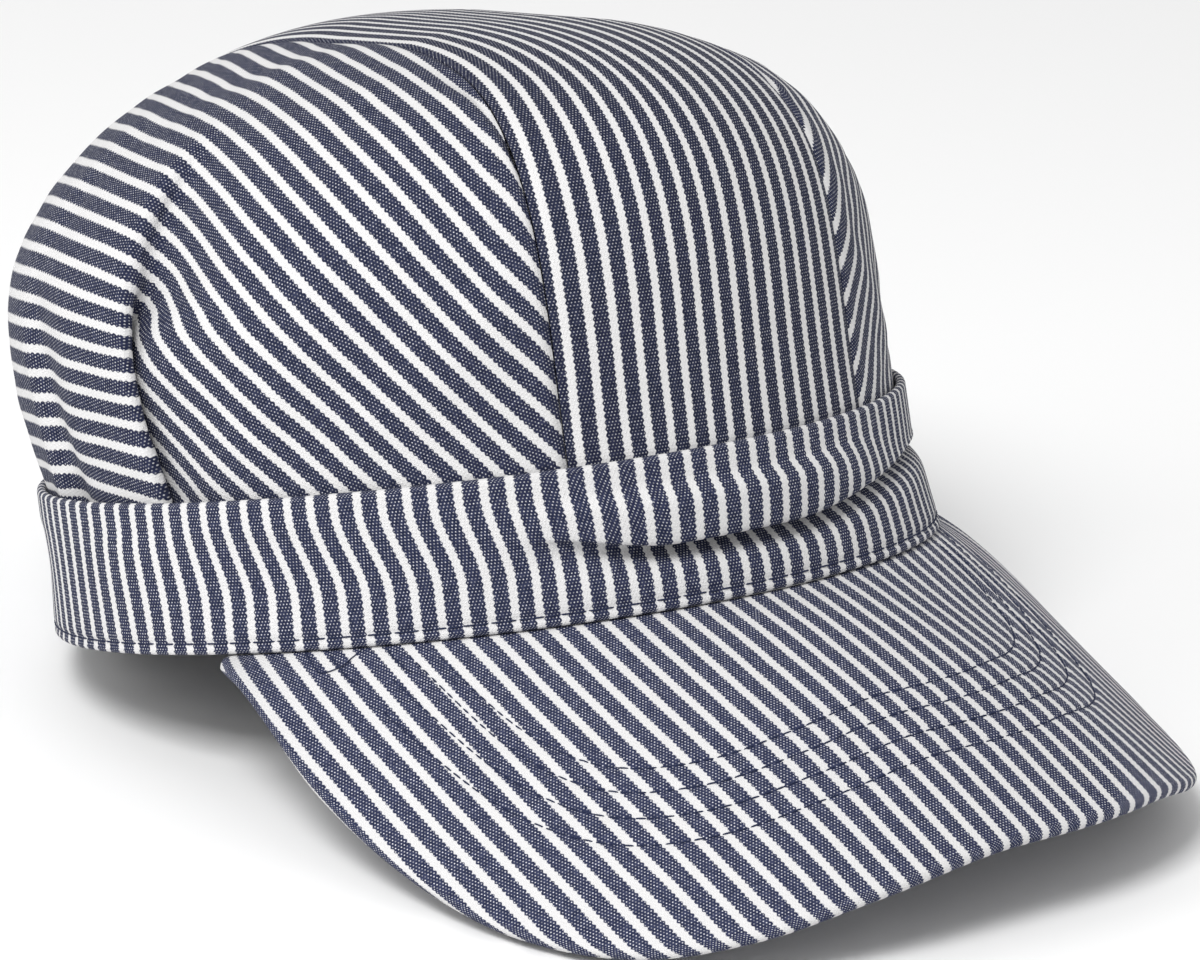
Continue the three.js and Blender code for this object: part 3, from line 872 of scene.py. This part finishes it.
def pleat_path(pleat, strength):
    """Running sums of cos(heading) and sin(heading) times each step's length.

    The heading turns half round and back; the sums are counted from the edge.
    """
    turn = np.pi * smooth(0.0, FULL_TURN, strength)[:, None]
    fold = (LEAST_FOLD + PLEAT_FOLD * pleat["depth"] * smooth(*FULL_FOLD, strength))[:, None]
    hollow_share = (np.arange(HOLLOW_STEPS) + 0.5) / HOLLOW_STEPS
    edge_share = (np.arange(EDGE_STEPS) + 0.5) / EDGE_STEPS
    heading = np.concatenate([
        turn * hollow_share, turn * np.ones(FOLD_STEPS), turn * (1 - edge_share),
    ], axis=1)
    length = np.concatenate([
        np.full_like(turn, PLEAT_HOLLOW_ARC / HOLLOW_STEPS) * np.ones(HOLLOW_STEPS),
        fold / FOLD_STEPS * np.ones(FOLD_STEPS),
        np.full_like(turn, PLEAT_EDGE_ARC / EDGE_STEPS) * np.ones(EDGE_STEPS),
    ], axis=1)
    zero = np.zeros_like(turn)
    along = np.concatenate([zero, np.cumsum(np.cos(heading) * length, axis=1)], axis=1)
    out = np.concatenate([zero, np.cumsum(np.sin(heading) * length, axis=1)], axis=1)
    return along - along[:, -1:], out - out[:, -1:]


def pleat_strength(pleat, heights):
    """Falls steeply where the fold opens, and then slowly up to the shoulder."""
    share = heights / pleat["height"]
    fold = FOLD_SHARE * (1 - smooth(*FOLD_OPENS, share))
    ridge = (1 - FOLD_SHARE) * (1 - smooth(*RIDGE_FADES, share))
    return pleat["hold"] * (fold + ridge)


def panel_lines(heights, first, last, side):
    """Angles and lifts of all lines, columns from the front seam to the back one."""
    angles = []
    lifts = []
    start = first
    pleats = [*PLEATS, None]
    for pleat, steps in zip(pleats, (FRONT_STEPS, BETWEEN_STEPS, BACK_STEPS)):
        share = np.arange(steps + 1) / steps
        if pleat is None:
            target, depth = last, np.zeros_like(last)
        else:
            along, out = pleat_path(pleat, pleat_strength(pleat, heights))
            edge = np.radians(pleat["angle"] + pleat["lean"] * heights)
            target, depth = side * (edge + along[:, 0] / mean_radius), out[:, 0]
        skip = 0 if not angles else 1
        plain = start[:, None] + (target - start)[:, None] * share[skip:]
        ease = smooth(RISE_TO_PLEAT["from"], 1.0, share[skip:]) ** RISE_TO_PLEAT["power"]
        angles.append(plain)
        lifts.append(depth[:, None] * ease)
        if pleat is None:
            break
        angles.append(side * (edge[:, None] + along[:, 1:] / mean_radius))
        lifts.append(out[:, 1:])
        start = angles[-1][:, -1]
    return np.concatenate(angles, axis=1), np.concatenate(lifts, axis=1)


print("cloth hidden in the deeper pleat:", PLEAT_FOLD, "mm")

# %% [markdown]
# From lines to panels. The lines are stacked from the hem to the strip's seam,
# and the dome gives each point its place. Two wide bells fill the panel out at
# the back, slow ripples of half a millimetre keep the cloth from looking like
# metal, and a hollow lies beside the front seam. The pattern is laid flat once
# and used for both sides, as the two real panels are cut from one pattern.

# %% The side panels
CROWN_RELIEF = 3.2
CROWN_DENTS = [
    {"angle": 128.0, "width": 20.0, "height": 0.6, "spread": 0.29, "depth": 1.12},
    {"angle": 93.0, "width": 10.0, "height": 0.62, "spread": 0.25, "depth": 0.5},
]
BACK_ANGLE = 126.0
PANEL_RIPPLE = 0.55
RIPPLE_SEED = 3
RIPPLE_HELD = (1.0, 12.0)
RELIEF_BEGINS = (0.0, 0.15)
RELIEF_ENDS = (0.7, 1.0)
PATTERN_ROW = 12
PATTERN_HIGH_ROW = 24
SEAM_HOLLOW = {"angle": 28.0, "width": 8.0, "below": 6.0, "spread": 5.0, "depth": 1.5}


def panel_relief(angle, heights):
    """A sum of bells in angle times bells in height."""
    degrees = np.degrees(np.abs(angle))
    total = np.zeros_like(angle)
    for dent in CROWN_DENTS:
        total += (CROWN_RELIEF * dent["depth"] * bell(degrees - dent["angle"], dent["width"])
                  * bell(heights - dent["height"], dent["spread"]))
    return total


def panel_surface(side):
    """Outer points (front to back, hem to top), and the dome's own normals."""
    reach = STRIP_WIDTH / 2 + SEAM_GAP / 2
    corner = np.radians(PANEL_CORNER)
    one = np.ones(1)
    at_top = [seam_angle(corner * one, reach, side, back) for back in (False, True)]
    top_angles = panel_lines(one, *at_top, side)[0][0]
    tops = seam_climb(top_angles, reach)
    share = np.concatenate([np.zeros(HEM_ROWS), np.arange(PANEL_UP + 1) / PANEL_UP])
    climbed = share ** CLIMB_POWER
    climbs = tops[None] * climbed[:, None]
    heights = rise_share(top_angles[None], climbs)
    heights[-1] = 1.0
    first = seam_angle(corner * climbed, reach, side, False)
    last = seam_angle(corner * climbed, reach, side, True)
    count = heights.shape[1]
    every = panel_lines(heights.ravel(), np.repeat(first, count), np.repeat(last, count), side)
    own = np.arange(heights.size), np.arange(heights.size) % count
    angles, lifts = (part[own].reshape(heights.shape) for part in every)
    held = (smooth(*RELIEF_BEGINS, share) * (1 - smooth(*RELIEF_ENDS, share)))[:, None]
    columns = np.arange(angles.shape[1])
    inner = np.minimum(1.0, np.minimum(columns, columns[::-1]) / FRONT_STEPS)
    relief = panel_relief(angles, heights) * held * inner
    drop = np.concatenate([np.linspace(-1, 0, HEM_ROWS, endpoint=False), np.zeros(PANEL_UP + 1)])
    points = dome(angles, climbs + drop[:, None], lifts + relief)
    normals = dome_normals(angles, climbs)
    return points.swapaxes(0, 1), normals.swapaxes(0, 1)


def panel_pattern(points):
    """The flat cloth, turned so that the stripes are level behind the pleats."""
    flat = laid_flat(points)
    angle = plan_degrees(points)
    column = int(np.argmin(np.abs(angle[:, PATTERN_ROW] - BACK_ANGLE)))
    up = flat[column, PATTERN_HIGH_ROW] - flat[column, HEM_ROWS]
    up = up / np.linalg.norm(up)
    across = flat @ up
    along = flat @ np.array([up[1], -up[0]])
    base = across[column, HEM_ROWS]
    return np.stack([across - base, along], axis=-1)


def seam_hollow(points, below_top):
    """A soft hollow just under the strip's seam, deepest at the front shoulder."""
    degrees = plan_degrees(points)
    place = bell(degrees - SEAM_HOLLOW["angle"], SEAM_HOLLOW["width"])
    below = bell(below_top - SEAM_HOLLOW["below"], SEAM_HOLLOW["spread"])
    return SEAM_HOLLOW["depth"] * place * below


def make_panel(name, side, uv, points, normals):
    """The panel dipped beside its seams and closed into a sheet."""
    own = grid_normals(points) * (-1 if side > 0 else 1)
    own[[0, -1]] = normals[[0, -1]]
    own[:, -1] = normals[:, -1]
    round_run = run_lengths(points, 0)
    up_run = run_lengths(points, 1)
    near = np.minimum(np.minimum(round_run, round_run[-1:] - round_run), up_run[:, -1:] - up_run)
    soft = ripples(uv, PANEL_RIPPLE, RIPPLE_SEED) * smooth(*RIPPLE_HELD, near)
    soft = soft - seam_hollow(points, up_run[:, -1:] - up_run)
    outer = points + (soft - SEAM_DIP * bell(near, SEAM_DIP_WIDTH))[..., None] * own
    if side > 0:
        outer, own, uv = outer[::-1], own[::-1], uv[::-1]
    grid, uv = close_ends(two_sided(outer, own, CROWN_CLOTH), two_sided_uv(uv))
    return sheet_object(name, grid, uv, cottons["panel"], ring_j=True)


right_points, right_normals = panel_surface(1)
left_points, left_normals = panel_surface(-1)
pattern = panel_pattern(right_points)
panel_right = make_panel("crown_right_cloth", 1, pattern, right_points, right_normals)
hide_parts("crown_side_right")
panel_left = make_panel("crown_left_cloth", -1, pattern, left_points, left_normals)
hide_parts("crown_side_left")

# %% [markdown]
# The band. It is two layers of cloth, folded over at the top. Across the
# front its upper half has rolled outward over a crease, and elsewhere it is
# softly dented. The section is a closed loop carried round the head: up the
# outside, over the fold, down the inside and round the lower fold.

# %% The band
BAND_ROLL = {"from": -64.0, "to": 27.0, "fade": 24.0}
BAND_ROLL_SECTION = [
    {"height": 0.70, "spread": 0.15, "depth": 1.3},
    {"height": 0.44, "spread": 0.125, "depth": -2.8},
]
BAND_SAG = {"height": 0.62, "spread": 0.065, "depth": 6.2}
CREASE_CLIMB = {"from": 6.0, "to": 48.0, "share": 0.20}
BAND_SHEAR = {"angle": 50.0, "width": 25.0, "length": 4.4, "from": 0.32, "to": 0.88}
FLARE = {"angle": -42.0, "width": 26.0, "depth": 4.6, "power": 1.5}
BAND_DENTS = [
    {"angle": 62.0, "width": 11.0, "height": 0.45, "depth": -0.5},
    {"angle": 83.0, "width": 9.0, "height": 0.55, "depth": 0.35},
    {"angle": 128.0, "width": 16.0, "height": 0.5, "depth": -0.5},
    {"angle": -118.0, "width": 18.0, "height": 0.5, "depth": -0.5},
]
BAND_ROW_HEIGHT = 2.4
ROW_GROOVE = 0.32
ROW_GROOVE_WIDTH = 0.75
DENT_SPREAD = 0.3
RELIEF_FOOT = 0.2
RELIEF_HEAD = 0.85
HEM_TURN_STEPS = 5
BAND_ROUND = 600
BAND_UP = 62
HEM_SHARE = 1 - (CROWN_TUCK + SEAM_GAP) / BAND_HEIGHT


def roll_part(angle):
    """One across the front, where the band has rolled, and zero elsewhere."""
    degrees = wrapped_degrees(angle)
    half = BAND_ROLL["fade"] / 2
    begins = smooth(BAND_ROLL["from"] - half, BAND_ROLL["from"] + half, degrees)
    ends = 1 - smooth(BAND_ROLL["to"] - half, BAND_ROLL["to"] + half, degrees)
    return begins * ends


def flare(angle):
    """How far the seam of band and peak is pushed out on the wearer's left."""
    degrees = wrapped_degrees(angle)
    return FLARE["depth"] * bell(degrees - FLARE["angle"], FLARE["width"])


def crease_climb(angle):
    """The crease lies higher towards the wearer's left temple."""
    degrees = wrapped_degrees(angle)
    return CREASE_CLIMB["share"] * smooth(CREASE_CLIMB["from"], CREASE_CLIMB["to"], -degrees)


def band_relief(angle, share):
    """Bells in height times the roll's part, plus the soft dents."""
    degrees = wrapped_degrees(angle)
    relief = np.zeros(np.broadcast(angle, share).shape)
    level = share - crease_climb(angle)
    for fold in BAND_ROLL_SECTION:
        relief = relief + (roll_part(angle) * fold["depth"]
                           * bell(level - fold["height"], fold["spread"]))
    for dent in BAND_DENTS:
        relief = relief + (dent["depth"] * bell(degrees - dent["angle"], dent["width"])
                           * bell(share - dent["height"], DENT_SPREAD))
    held = (1 - smooth(RELIEF_HEAD * HEM_SHARE, HEM_SHARE, share)) * smooth(0.0, RELIEF_FOOT, share)
    groove = ROW_GROOVE * bell(share * BAND_HEIGHT - BAND_ROW_HEIGHT, ROW_GROOVE_WIDTH)
    return relief * BAND_CLOTH * held - groove


def band_surface(angle, share):
    """The outline plus relief; the roll's lower half sags over the crease."""
    plan = outline(angle, 0.0)
    normal = with_height(outline(angle, -1.0) - plan, 0.0)
    level = share - crease_climb(angle)
    sag = (BAND_SAG["depth"] * roll_part(angle)
           * bell(level - BAND_SAG["height"], BAND_SAG["spread"]))
    relief = band_relief(angle, share) + flare(angle) * (1 - share) ** FLARE["power"]
    return with_height(plan, BAND_HEIGHT * share - sag) + relief[..., None] * normal, normal


def make_band():
    """The band's outside as a ring, with its inside and its two folds."""
    round_head = np.pi - 2 * np.pi * np.arange(BAND_ROUND + 1) / BAND_ROUND
    margin = BAND_CLOTH / 2 / BAND_HEIGHT
    up_band = np.linspace(margin, 1 - margin, BAND_UP + 1)
    angle, share = np.meshgrid(round_head[:-1], up_band, indexing="ij")
    outer, normal = band_surface(angle, share)
    grid = two_sided(outer, normal, BAND_CLOTH, HEM_TURN_STEPS)
    walked = run_lengths(with_height(outline(round_head), 0.0), 0)
    across = walked[-1] / 2 - walked
    height = run_lengths(outer, 1)
    height = np.concatenate([height, height[:1]])
    beside = np.degrees(round_head) - BAND_SHEAR["angle"]
    pulled = BAND_SHEAR["length"] * bell(beside, BAND_SHEAR["width"])
    lean = pulled[:, None] * (smooth(BAND_SHEAR["from"], BAND_SHEAR["to"], up_band) - 0.5)
    uv = np.stack([across[:, None] - lean, height], axis=-1)
    uv = two_sided_uv(uv, HEM_TURN_STEPS, BAND_CLOTH)
    print("band round:", round(float(walked[-1]), 1), "mm")
    return sheet_object("band_cloth", grid, uv, cottons["band"], ring_i=True, ring_j=True)


band = make_band()
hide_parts("band")

# %% [markdown]
# The peak. Two layers of cloth lie over a stiff core. Its upper face runs
# from its root under the band to its outer edge, which is a rounded oblong
# seen from above and droops most at its corners. Such a surface bends almost
# in one direction only, so it can be laid flat like the side panels. The
# corner on the wearer's left has been worn rounder and stands a little higher.

# %% The peak
PEAK_EDGE_ANGLES = [0.0, 16.0, 26.0, 36.0, 47.0, 57.0, 67.0, 78.0, 90.0]
PEAK_EDGE_LOW = [0.826, 0.902, 0.975, 1.00, 0.92, 0.765, 0.565, 0.305, 0.03]
PEAK_LEFT = {"half_width": 96.0, "squareness": 2.5, "lift": 0.12, "full_at": 24.0}
PEAK_ALONG = 240
PEAK_OUT = 96
RIM_TURN_STEPS = 7


def smooth_table(places, values, wanted):
    """A cubic between rows, with the slope at a row taken from its neighbours."""
    places, values = np.array(places), np.array(values)
    row = np.clip(np.searchsorted(places, wanted, side="left") - 1, 0, len(places) - 2)
    before, after = np.maximum(row - 1, 0), np.minimum(row + 2, len(places) - 1)
    span = places[row + 1] - places[row]
    share = (wanted - places[row]) / span
    start_slope = np.where(row == 0, 0.0, (values[row + 1] - values[before])
                           / np.maximum(places[row + 1] - places[before], 1e-9))
    end_slope = (values[after] - values[row]) / (places[after] - places[row])
    return ((2 * share ** 3 - 3 * share ** 2 + 1) * values[row]
            + (share ** 3 - 2 * share ** 2 + share) * span * start_slope
            + (3 * share ** 2 - 2 * share ** 3) * values[row + 1]
            + (share ** 3 - share ** 2) * span * end_slope)


def peak_edge(turn):
    """A superellipse about the root's middle: (wide^n + deep^n)^(-1/n).

    The corner on the wearer's left is rounder and is bent up a little.
    """
    degrees = np.degrees(np.abs(turn))
    forward = -outline(np.array(0.0))[1] + PEAK_REACH - PEAK_ROOT_FORWARD
    wide = np.abs(np.sin(turn)) / np.where(turn > 0, PEAK_HALF_WIDTH, PEAK_LEFT["half_width"])
    deep = np.abs(np.cos(turn)) / forward
    squareness = np.where(turn > 0, PEAK_SQUARENESS, PEAK_LEFT["squareness"])
    reach = (wide ** squareness + deep ** squareness) ** (-1 / squareness)
    lift = np.where(turn > 0, 0.0, PEAK_LEFT["lift"]) * smooth(0.0, PEAK_LEFT["full_at"], degrees)
    low = smooth_table(PEAK_EDGE_ANGLES, PEAK_EDGE_LOW, degrees) * (1 - lift)
    plan = np.stack([-reach * np.sin(turn), -PEAK_ROOT_FORWARD - reach * np.cos(turn)], axis=-1)
    return with_height(plan, -PEAK_DROP * low)


def peak_surface(share, way):
    """Straight from edge to root, plus a crown of 4 way (1 - way) cos(share)."""
    root_angle = share * np.radians(PEAK_ROOT_ANGLE)
    root = with_height(outline(root_angle, BAND_CLOTH / 2 - flare(root_angle)), -SEAM_GAP)
    end = with_height(outline(root_angle, -PEAK_END_WIDTH - flare(root_angle)), -SEAM_GAP)
    rounding = np.clip(np.abs(share) - 1 + PEAK_END_SHARE, 0, None) / PEAK_END_SHARE
    toward_end = (1 - np.sqrt(np.clip(1 - rounding ** 2, 0.0, 1.0)))[..., None]
    edge = peak_edge(share * np.pi / 2) * (1 - toward_end) + end * toward_end
    points = edge * (1 - way[..., None]) + root * way[..., None]
    points[..., 2] += PEAK_CROWNING * 4 * way * (1 - way) * np.cos(share * np.pi / 2)
    return points


PEAK_ROWS = [
    {"inside": 45.5, "more": 11.5, "end": 0.655},
    {"inside": 39.0, "more": 10.5, "end": 0.70},
    {"inside": 32.3, "more": 7.7, "end": 0.72},
    {"inside": 25.5, "more": 5.0, "end": 0.725},
]
ROW_WIDENS = (0.40, 0.75)
ROW_FADE = 0.02


def row_distance(row, share):
    """How far inside the edge a row of stitches runs; more towards its ends."""
    return row["inside"] + row["more"] * smooth(*ROW_WIDENS, np.abs(share))


def edge_to_root(share):
    """The length from the peak's edge to its root, at a share of its round."""
    share = np.asarray(share, dtype=float)
    edge = peak_surface(share, np.zeros_like(share))
    return np.linalg.norm(edge - peak_surface(share, np.ones_like(share)), axis=-1)


def peak_groove(share, way):
    """Shallow bells along the rows of stitches, which press the cloth down."""
    inside = way * edge_to_root(share)
    depth = np.zeros_like(way)
    for row in PEAK_ROWS:
        held = 1 - smooth(row["end"] - ROW_FADE, row["end"] + ROW_FADE, np.abs(share))
        depth += ROW_GROOVE * held * bell(inside - row_distance(row, share), ROW_GROOVE_WIDTH)
    return depth


def make_peak():
    """The upper face pulled in by half a thickness, closed round its rim."""
    ways = np.linspace(0, 1, PEAK_OUT + 1)
    share, way = np.meshgrid(np.linspace(1, -1, PEAK_ALONG + 1), ways, indexing="ij")
    whole = peak_surface(share, way)
    length = np.linalg.norm(whole[:, -1] - whole[:, 0], axis=-1)[:, None]
    pulled = PEAK_THICKNESS / 2 / np.maximum(length, 3 * PEAK_THICKNESS)
    way = pulled + (1 - pulled) * way
    smooth_outer = peak_surface(share, way)
    normals = grid_normals(smooth_outer)
    outer = smooth_outer - peak_groove(share, way)[..., None] * normals
    flat = laid_flat(smooth_outer)
    middle = PEAK_ALONG // 2
    inward = flat[middle, -1] - flat[middle, 0]
    inward = inward / np.linalg.norm(inward)
    away = flat - flat[middle, 0]
    uv = np.stack([away @ np.array([inward[1], -inward[0]]), away @ inward], axis=-1)
    grid = two_sided(outer, normals, PEAK_THICKNESS, RIM_TURN_STEPS)
    grid, uv = close_ends(grid, two_sided_uv(uv, RIM_TURN_STEPS, PEAK_THICKNESS), RIM_TURN_STEPS)
    return sheet_object("peak_cloth", grid, uv, cottons["peak"], ring_j=True)


peak = make_peak()
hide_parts("peak")

# %% [markdown]
# The stitches. A stitch is a short piece of thread that comes out of the
# cloth, lies on it and goes back in. Each is a tube round an arched line, its
# two ends drawn to a point under the cloth's surface. All the stitches of a row are
# worked out together, as one array of stitches by rings by sides.

# %% Stitches
THREAD_RADIUS = 0.18
STITCH_LENGTH = 2.65
STITCH_GAP = 0.2
STITCH_RINGS = 7
STITCH_ARCH = 1.5
STITCH_SINK = 0.55
THREAD_SIDES = 6
THREAD_DARK = (0.007, 0.011, 0.034)
THREAD_LIGHT = (0.020, 0.028, 0.070)
THREAD_SURFACE = {"Roughness": 0.75, "Specular IOR Level": 0.25}
TWIST_SCALE = 2600.0
TWIST_DETAIL = 3.0
TWIST_DEPTH = 0.0001
TWIST_STRENGTH = 0.4


def thread_material():
    """Dark blue sewing thread, with a fine uneven twist in its bump."""
    material, shader = new_material("navy_sewing_thread")
    tree = material.node_tree
    place = tree.nodes.new("ShaderNodeTexCoord").outputs["Object"]
    twist = noise_node(tree, place, TWIST_SCALE, TWIST_DETAIL)
    tree.links.new(mix_colors(tree, twist, THREAD_DARK, THREAD_LIGHT), shader.inputs["Base Color"])
    tip_normals(tree, shader, twist, TWIST_STRENGTH, TWIST_DEPTH)
    set_inputs(shader, THREAD_SURFACE)
    return material


def tube_object(name, centres, normals, radii, material, body="root"):
    """Tubes over arrays (tube, ring, xyz): centre + radius (cos side + sin normal).

    The first and the last ring are single points, which close the ends.
    """
    tubes, rings = centres.shape[:2]
    tangent = unit(np.gradient(centres, axis=1))
    side = unit(np.cross(normals, tangent))
    lifted = np.cross(tangent, side)
    turn = 2 * np.pi * np.arange(THREAD_SIDES) / THREAD_SIDES
    ring = (np.cos(turn)[:, None] * side[:, 1:-1, None]
            + np.sin(turn)[:, None] * lifted[:, 1:-1, None])
    inner_radii = np.broadcast_to(radii, (tubes, rings))[:, 1:-1, None, None]
    walls = centres[:, 1:-1, None] + ring * inner_radii
    points = np.concatenate([
        centres[:, :1], walls.reshape(tubes, -1, 3), centres[:, -1:],
    ], axis=1)
    per_tube = points.shape[1]
    r, k = np.meshgrid(np.arange(rings - 3), np.arange(THREAD_SIDES), indexing="ij")
    r, k, next_k = r.ravel(), k.ravel(), (k.ravel() + 1) % THREAD_SIDES
    quads = 1 + np.stack([
        r * THREAD_SIDES + k, r * THREAD_SIDES + next_k,
        (r + 1) * THREAD_SIDES + next_k, (r + 1) * THREAD_SIDES + k,
    ], axis=1)
    k = np.arange(THREAD_SIDES)
    next_k = (k + 1) % THREAD_SIDES
    last = 1 + (rings - 3) * THREAD_SIDES
    fans = np.concatenate([
        np.stack([1 + next_k, 1 + k, np.zeros_like(k)], axis=1),
        np.stack([last + k, last + next_k, np.full_like(k, per_tube - 1)], axis=1),
    ])
    shift = (per_tube * np.arange(tubes))[:, None, None]
    faces = (quads + shift).reshape(-1, 4).tolist() + (fans + shift).reshape(-1, 3).tolist()
    mesh = bpy.data.meshes.new(name)
    mesh.from_pydata(to_frame(points.reshape(-1, 3)).tolist(), [], faces)
    obj = smooth_object(name, mesh, material)
    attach(obj, body)
    print(name, "has", tubes, "tubes")
    return obj


def row_of_stitches(path, normals):
    """Centres, normals and radii of the stitches along one line on the cloth."""
    walked = run_lengths(path, 0)
    step = STITCH_LENGTH + STITCH_GAP
    count = int(walked[-1] // step)
    first = (walked[-1] - count * step + STITCH_GAP) / 2
    share = np.linspace(0, 1, STITCH_RINGS)
    at = first + step * np.arange(count)[:, None] + STITCH_LENGTH * share
    centres = np.stack([np.interp(at, walked, path[:, axis]) for axis in range(3)], axis=-1)
    out = unit(np.stack([np.interp(at, walked, normals[:, axis]) for axis in range(3)], axis=-1))
    arch = THREAD_RADIUS * (STITCH_ARCH * np.sqrt(np.sin(np.pi * share)) - STITCH_SINK)
    radii = THREAD_RADIUS * np.sqrt(1 - (2 * share - 1) ** 4)
    return centres + out * arch[:, None], out, radii


thread = thread_material()
print("a stitch every", STITCH_LENGTH + STITCH_GAP, "mm")

# %% [markdown]
# Rows of stitches. The band has one row close to its lower edge, which is its
# seam with the peak. The peak has four, side by side, that follow its edge and
# spread a little towards the sides. Rows of single stitches are more work than
# a painted line, but they catch the light one by one.

# %% Rows of stitches
STITCH_PATH_POINTS = 1201
ROW_POINTS = 600
ROW_LIMIT = 0.97
NUDGE = 0.01


def make_band_stitches():
    """One row all round, just over the band's lower edge."""
    angle = np.linspace(np.pi, -np.pi, STITCH_PATH_POINTS)
    share = np.full_like(angle, BAND_ROW_HEIGHT / BAND_HEIGHT)
    path, normals = band_surface(angle, share)
    return tube_object("band_stitches", *row_of_stitches(path, normals), thread)


def make_peak_stitches():
    """Four rows side by side round the peak, each inside the edge by its distance."""
    rows = []
    for row in PEAK_ROWS:
        share = np.linspace(row["end"], -row["end"], ROW_POINTS)
        way = row_distance(row, share) / edge_to_root(share)
        kept = way < ROW_LIMIT
        share, way = share[kept], way[kept]
        band_of_ways = np.stack([way - NUDGE, way, way + NUDGE], axis=1)
        patch = peak_surface(np.repeat(share[:, None], 3, axis=1), band_of_ways)
        normals = grid_normals(patch)[:, 1]
        rows.append(row_of_stitches(patch[:, 1] - ROW_GROOVE * normals, normals))
    centres = np.concatenate([row[0] for row in rows])
    normals = np.concatenate([row[1] for row in rows])
    return tube_object("peak_stitches", centres, normals, rows[0][2], thread)


band_stitches = make_band_stitches()
peak_stitches = make_peak_stitches()

# %% [markdown]
# Loose ends. Where the peak's seam ends on the wearer's right, three cut ends
# of thread lie on the cloth. Their lines were read off the photograph, so they
# are given in its pixels. Each pixel is taken to the point of the peak that
# the camera sees there, and the thread runs on the peak through these points.

# %% Loose ends
LOOSE_ENDS = [
    [(305, 652), (318, 672), (340, 668), (352, 658), (362, 650)],
    [(386, 646), (392, 656), (399, 663), (404, 668), (412, 673)],
    [(330, 655), (336, 664), (345, 675), (353, 682), (362, 688)],
]
LOOSE_RADIUS = 0.13
LOOSE_RINGS = 28
LOOSE_REST = 0.8
LOOSE_BOW = 1.2
SEARCH_ALONG = 400
SEARCH_OUT = 320


def on_the_peak(pixels):
    """Share and way of the peak's points that are seen nearest to some pixels."""
    right, up, back = camera_axes()
    shares = np.linspace(0.5, 1, SEARCH_ALONG)
    share, way = np.meshgrid(shares, np.linspace(0, 1, SEARCH_OUT), indexing="ij")
    ray = peak_surface(share, way).reshape(-1, 3) - camera_eye()
    scale = CAMERA_REACH_PIXELS / -(ray @ back)
    level = PHOTO_HEIGHT / 2 - ray @ up * scale
    seen = np.stack([PHOTO_WIDTH / 2 + ray @ right * scale, level], axis=-1)
    nearest = ((seen[None] - pixels[:, None]) ** 2).sum(axis=-1).argmin(axis=1)
    return share.ravel()[nearest], way.ravel()[nearest]


def make_loose_ends():
    """Smooth lines through the points, lifted by the thread's radius and a bow."""
    lines = []
    for pixels in LOOSE_ENDS:
        share, way = on_the_peak(np.array(pixels, dtype=float))
        knots = np.arange(len(pixels), dtype=float)
        wanted = np.linspace(0.0, knots[-1], LOOSE_RINGS)
        share = smooth_table(knots, share, wanted)
        way = smooth_table(knots, way, wanted)
        ways = np.stack([way - NUDGE, way, way + NUDGE], axis=1)
        shares = np.stack([share + NUDGE, share, share - NUDGE])[:, :, None]
        patch = peak_surface(*np.broadcast_arrays(shares, ways))
        normal = unit(np.cross(patch[2, :, 1] - patch[0, :, 1], patch[1, :, 2] - patch[1, :, 0]))
        lift = LOOSE_RADIUS * (LOOSE_REST + LOOSE_BOW * np.sin(np.pi * wanted / knots[-1]) ** 2)
        lines.append((patch[1, :, 1] + normal * lift[:, None], normal))
    centres = np.stack([line[0] for line in lines])
    normals = np.stack([line[1] for line in lines])
    radii = LOOSE_RADIUS * np.sqrt(1 - np.linspace(-1, 1, LOOSE_RINGS) ** 8)
    return tube_object("loose_ends", centres, normals, radii, thread)


loose_ends = make_loose_ends()

# %% [markdown]
# The floor and the light. A pale floor and three large soft lights stand for
# a plain photo table: a strong one from above the wearer's right, and a weak
# one from each side of the picture, under an even pale sky.

# %% Floor and light
FLOOR_HALF = 6.0
FLOOR_DROP = 0.0002
LIGHT_AIM = (0.0, 0.0, 0.07)
LIGHTS = [
    {"name": "key", "place": (-1.2, -0.7, 1.7), "power": 34.0, "size": 0.8},
    {"name": "left_fill", "place": (-1.8, 0.5, 0.8), "power": 10.0, "size": 1.2},
    {"name": "right_fill", "place": (1.6, -1.2, 0.9), "power": 2.5, "size": 1.2},
]
FLOOR_SURFACE = {"Base Color": (0.90, 0.90, 0.90, 1.0), "Roughness": 0.9}
SKY = {"Color": (1.0, 1.0, 1.0, 1.0), "Strength": 0.61}


def make_floor():
    """A large pale plane just under the cap."""
    mesh = bpy.data.meshes.new("floor")
    signs = ((-1, -1), (1, -1), (1, 1), (-1, 1))
    corners = [(x * FLOOR_HALF, y * FLOOR_HALF, -FLOOR_DROP) for x, y in signs]
    mesh.from_pydata(corners, [], [(0, 1, 2, 3)])
    material, shader = new_material("floor_pale")
    set_inputs(shader, FLOOR_SURFACE)
    mesh.materials.append(material)
    floor = bpy.data.objects.new("floor", mesh)
    bpy.context.collection.objects.link(floor)


def make_light(name, place, power, size):
    """A square area light at a place in metres, aimed at the cap's middle."""
    data = bpy.data.lights.new(name, "AREA")
    data.energy = power
    data.size = size
    light = bpy.data.objects.new(name, data)
    back = unit(np.array(place) - np.array(LIGHT_AIM))
    right = unit(np.cross([0.0, 0.0, 1.0], back))
    placed = np.eye(4)
    placed[:3, :3] = np.stack([right, np.cross(back, right), back], axis=1)
    placed[:3, 3] = place
    light.matrix_world = Matrix(placed.tolist())
    bpy.context.collection.objects.link(light)


make_floor()
for light in LIGHTS:
    make_light(**light)
bpy.context.scene.view_settings.view_transform = "Standard"
world = bpy.data.worlds.new("sky")
world.use_nodes = True
set_inputs(world.node_tree.nodes["Background"], SKY)
bpy.context.scene.world = world
print("lights:", [light["name"] for light in LIGHTS])
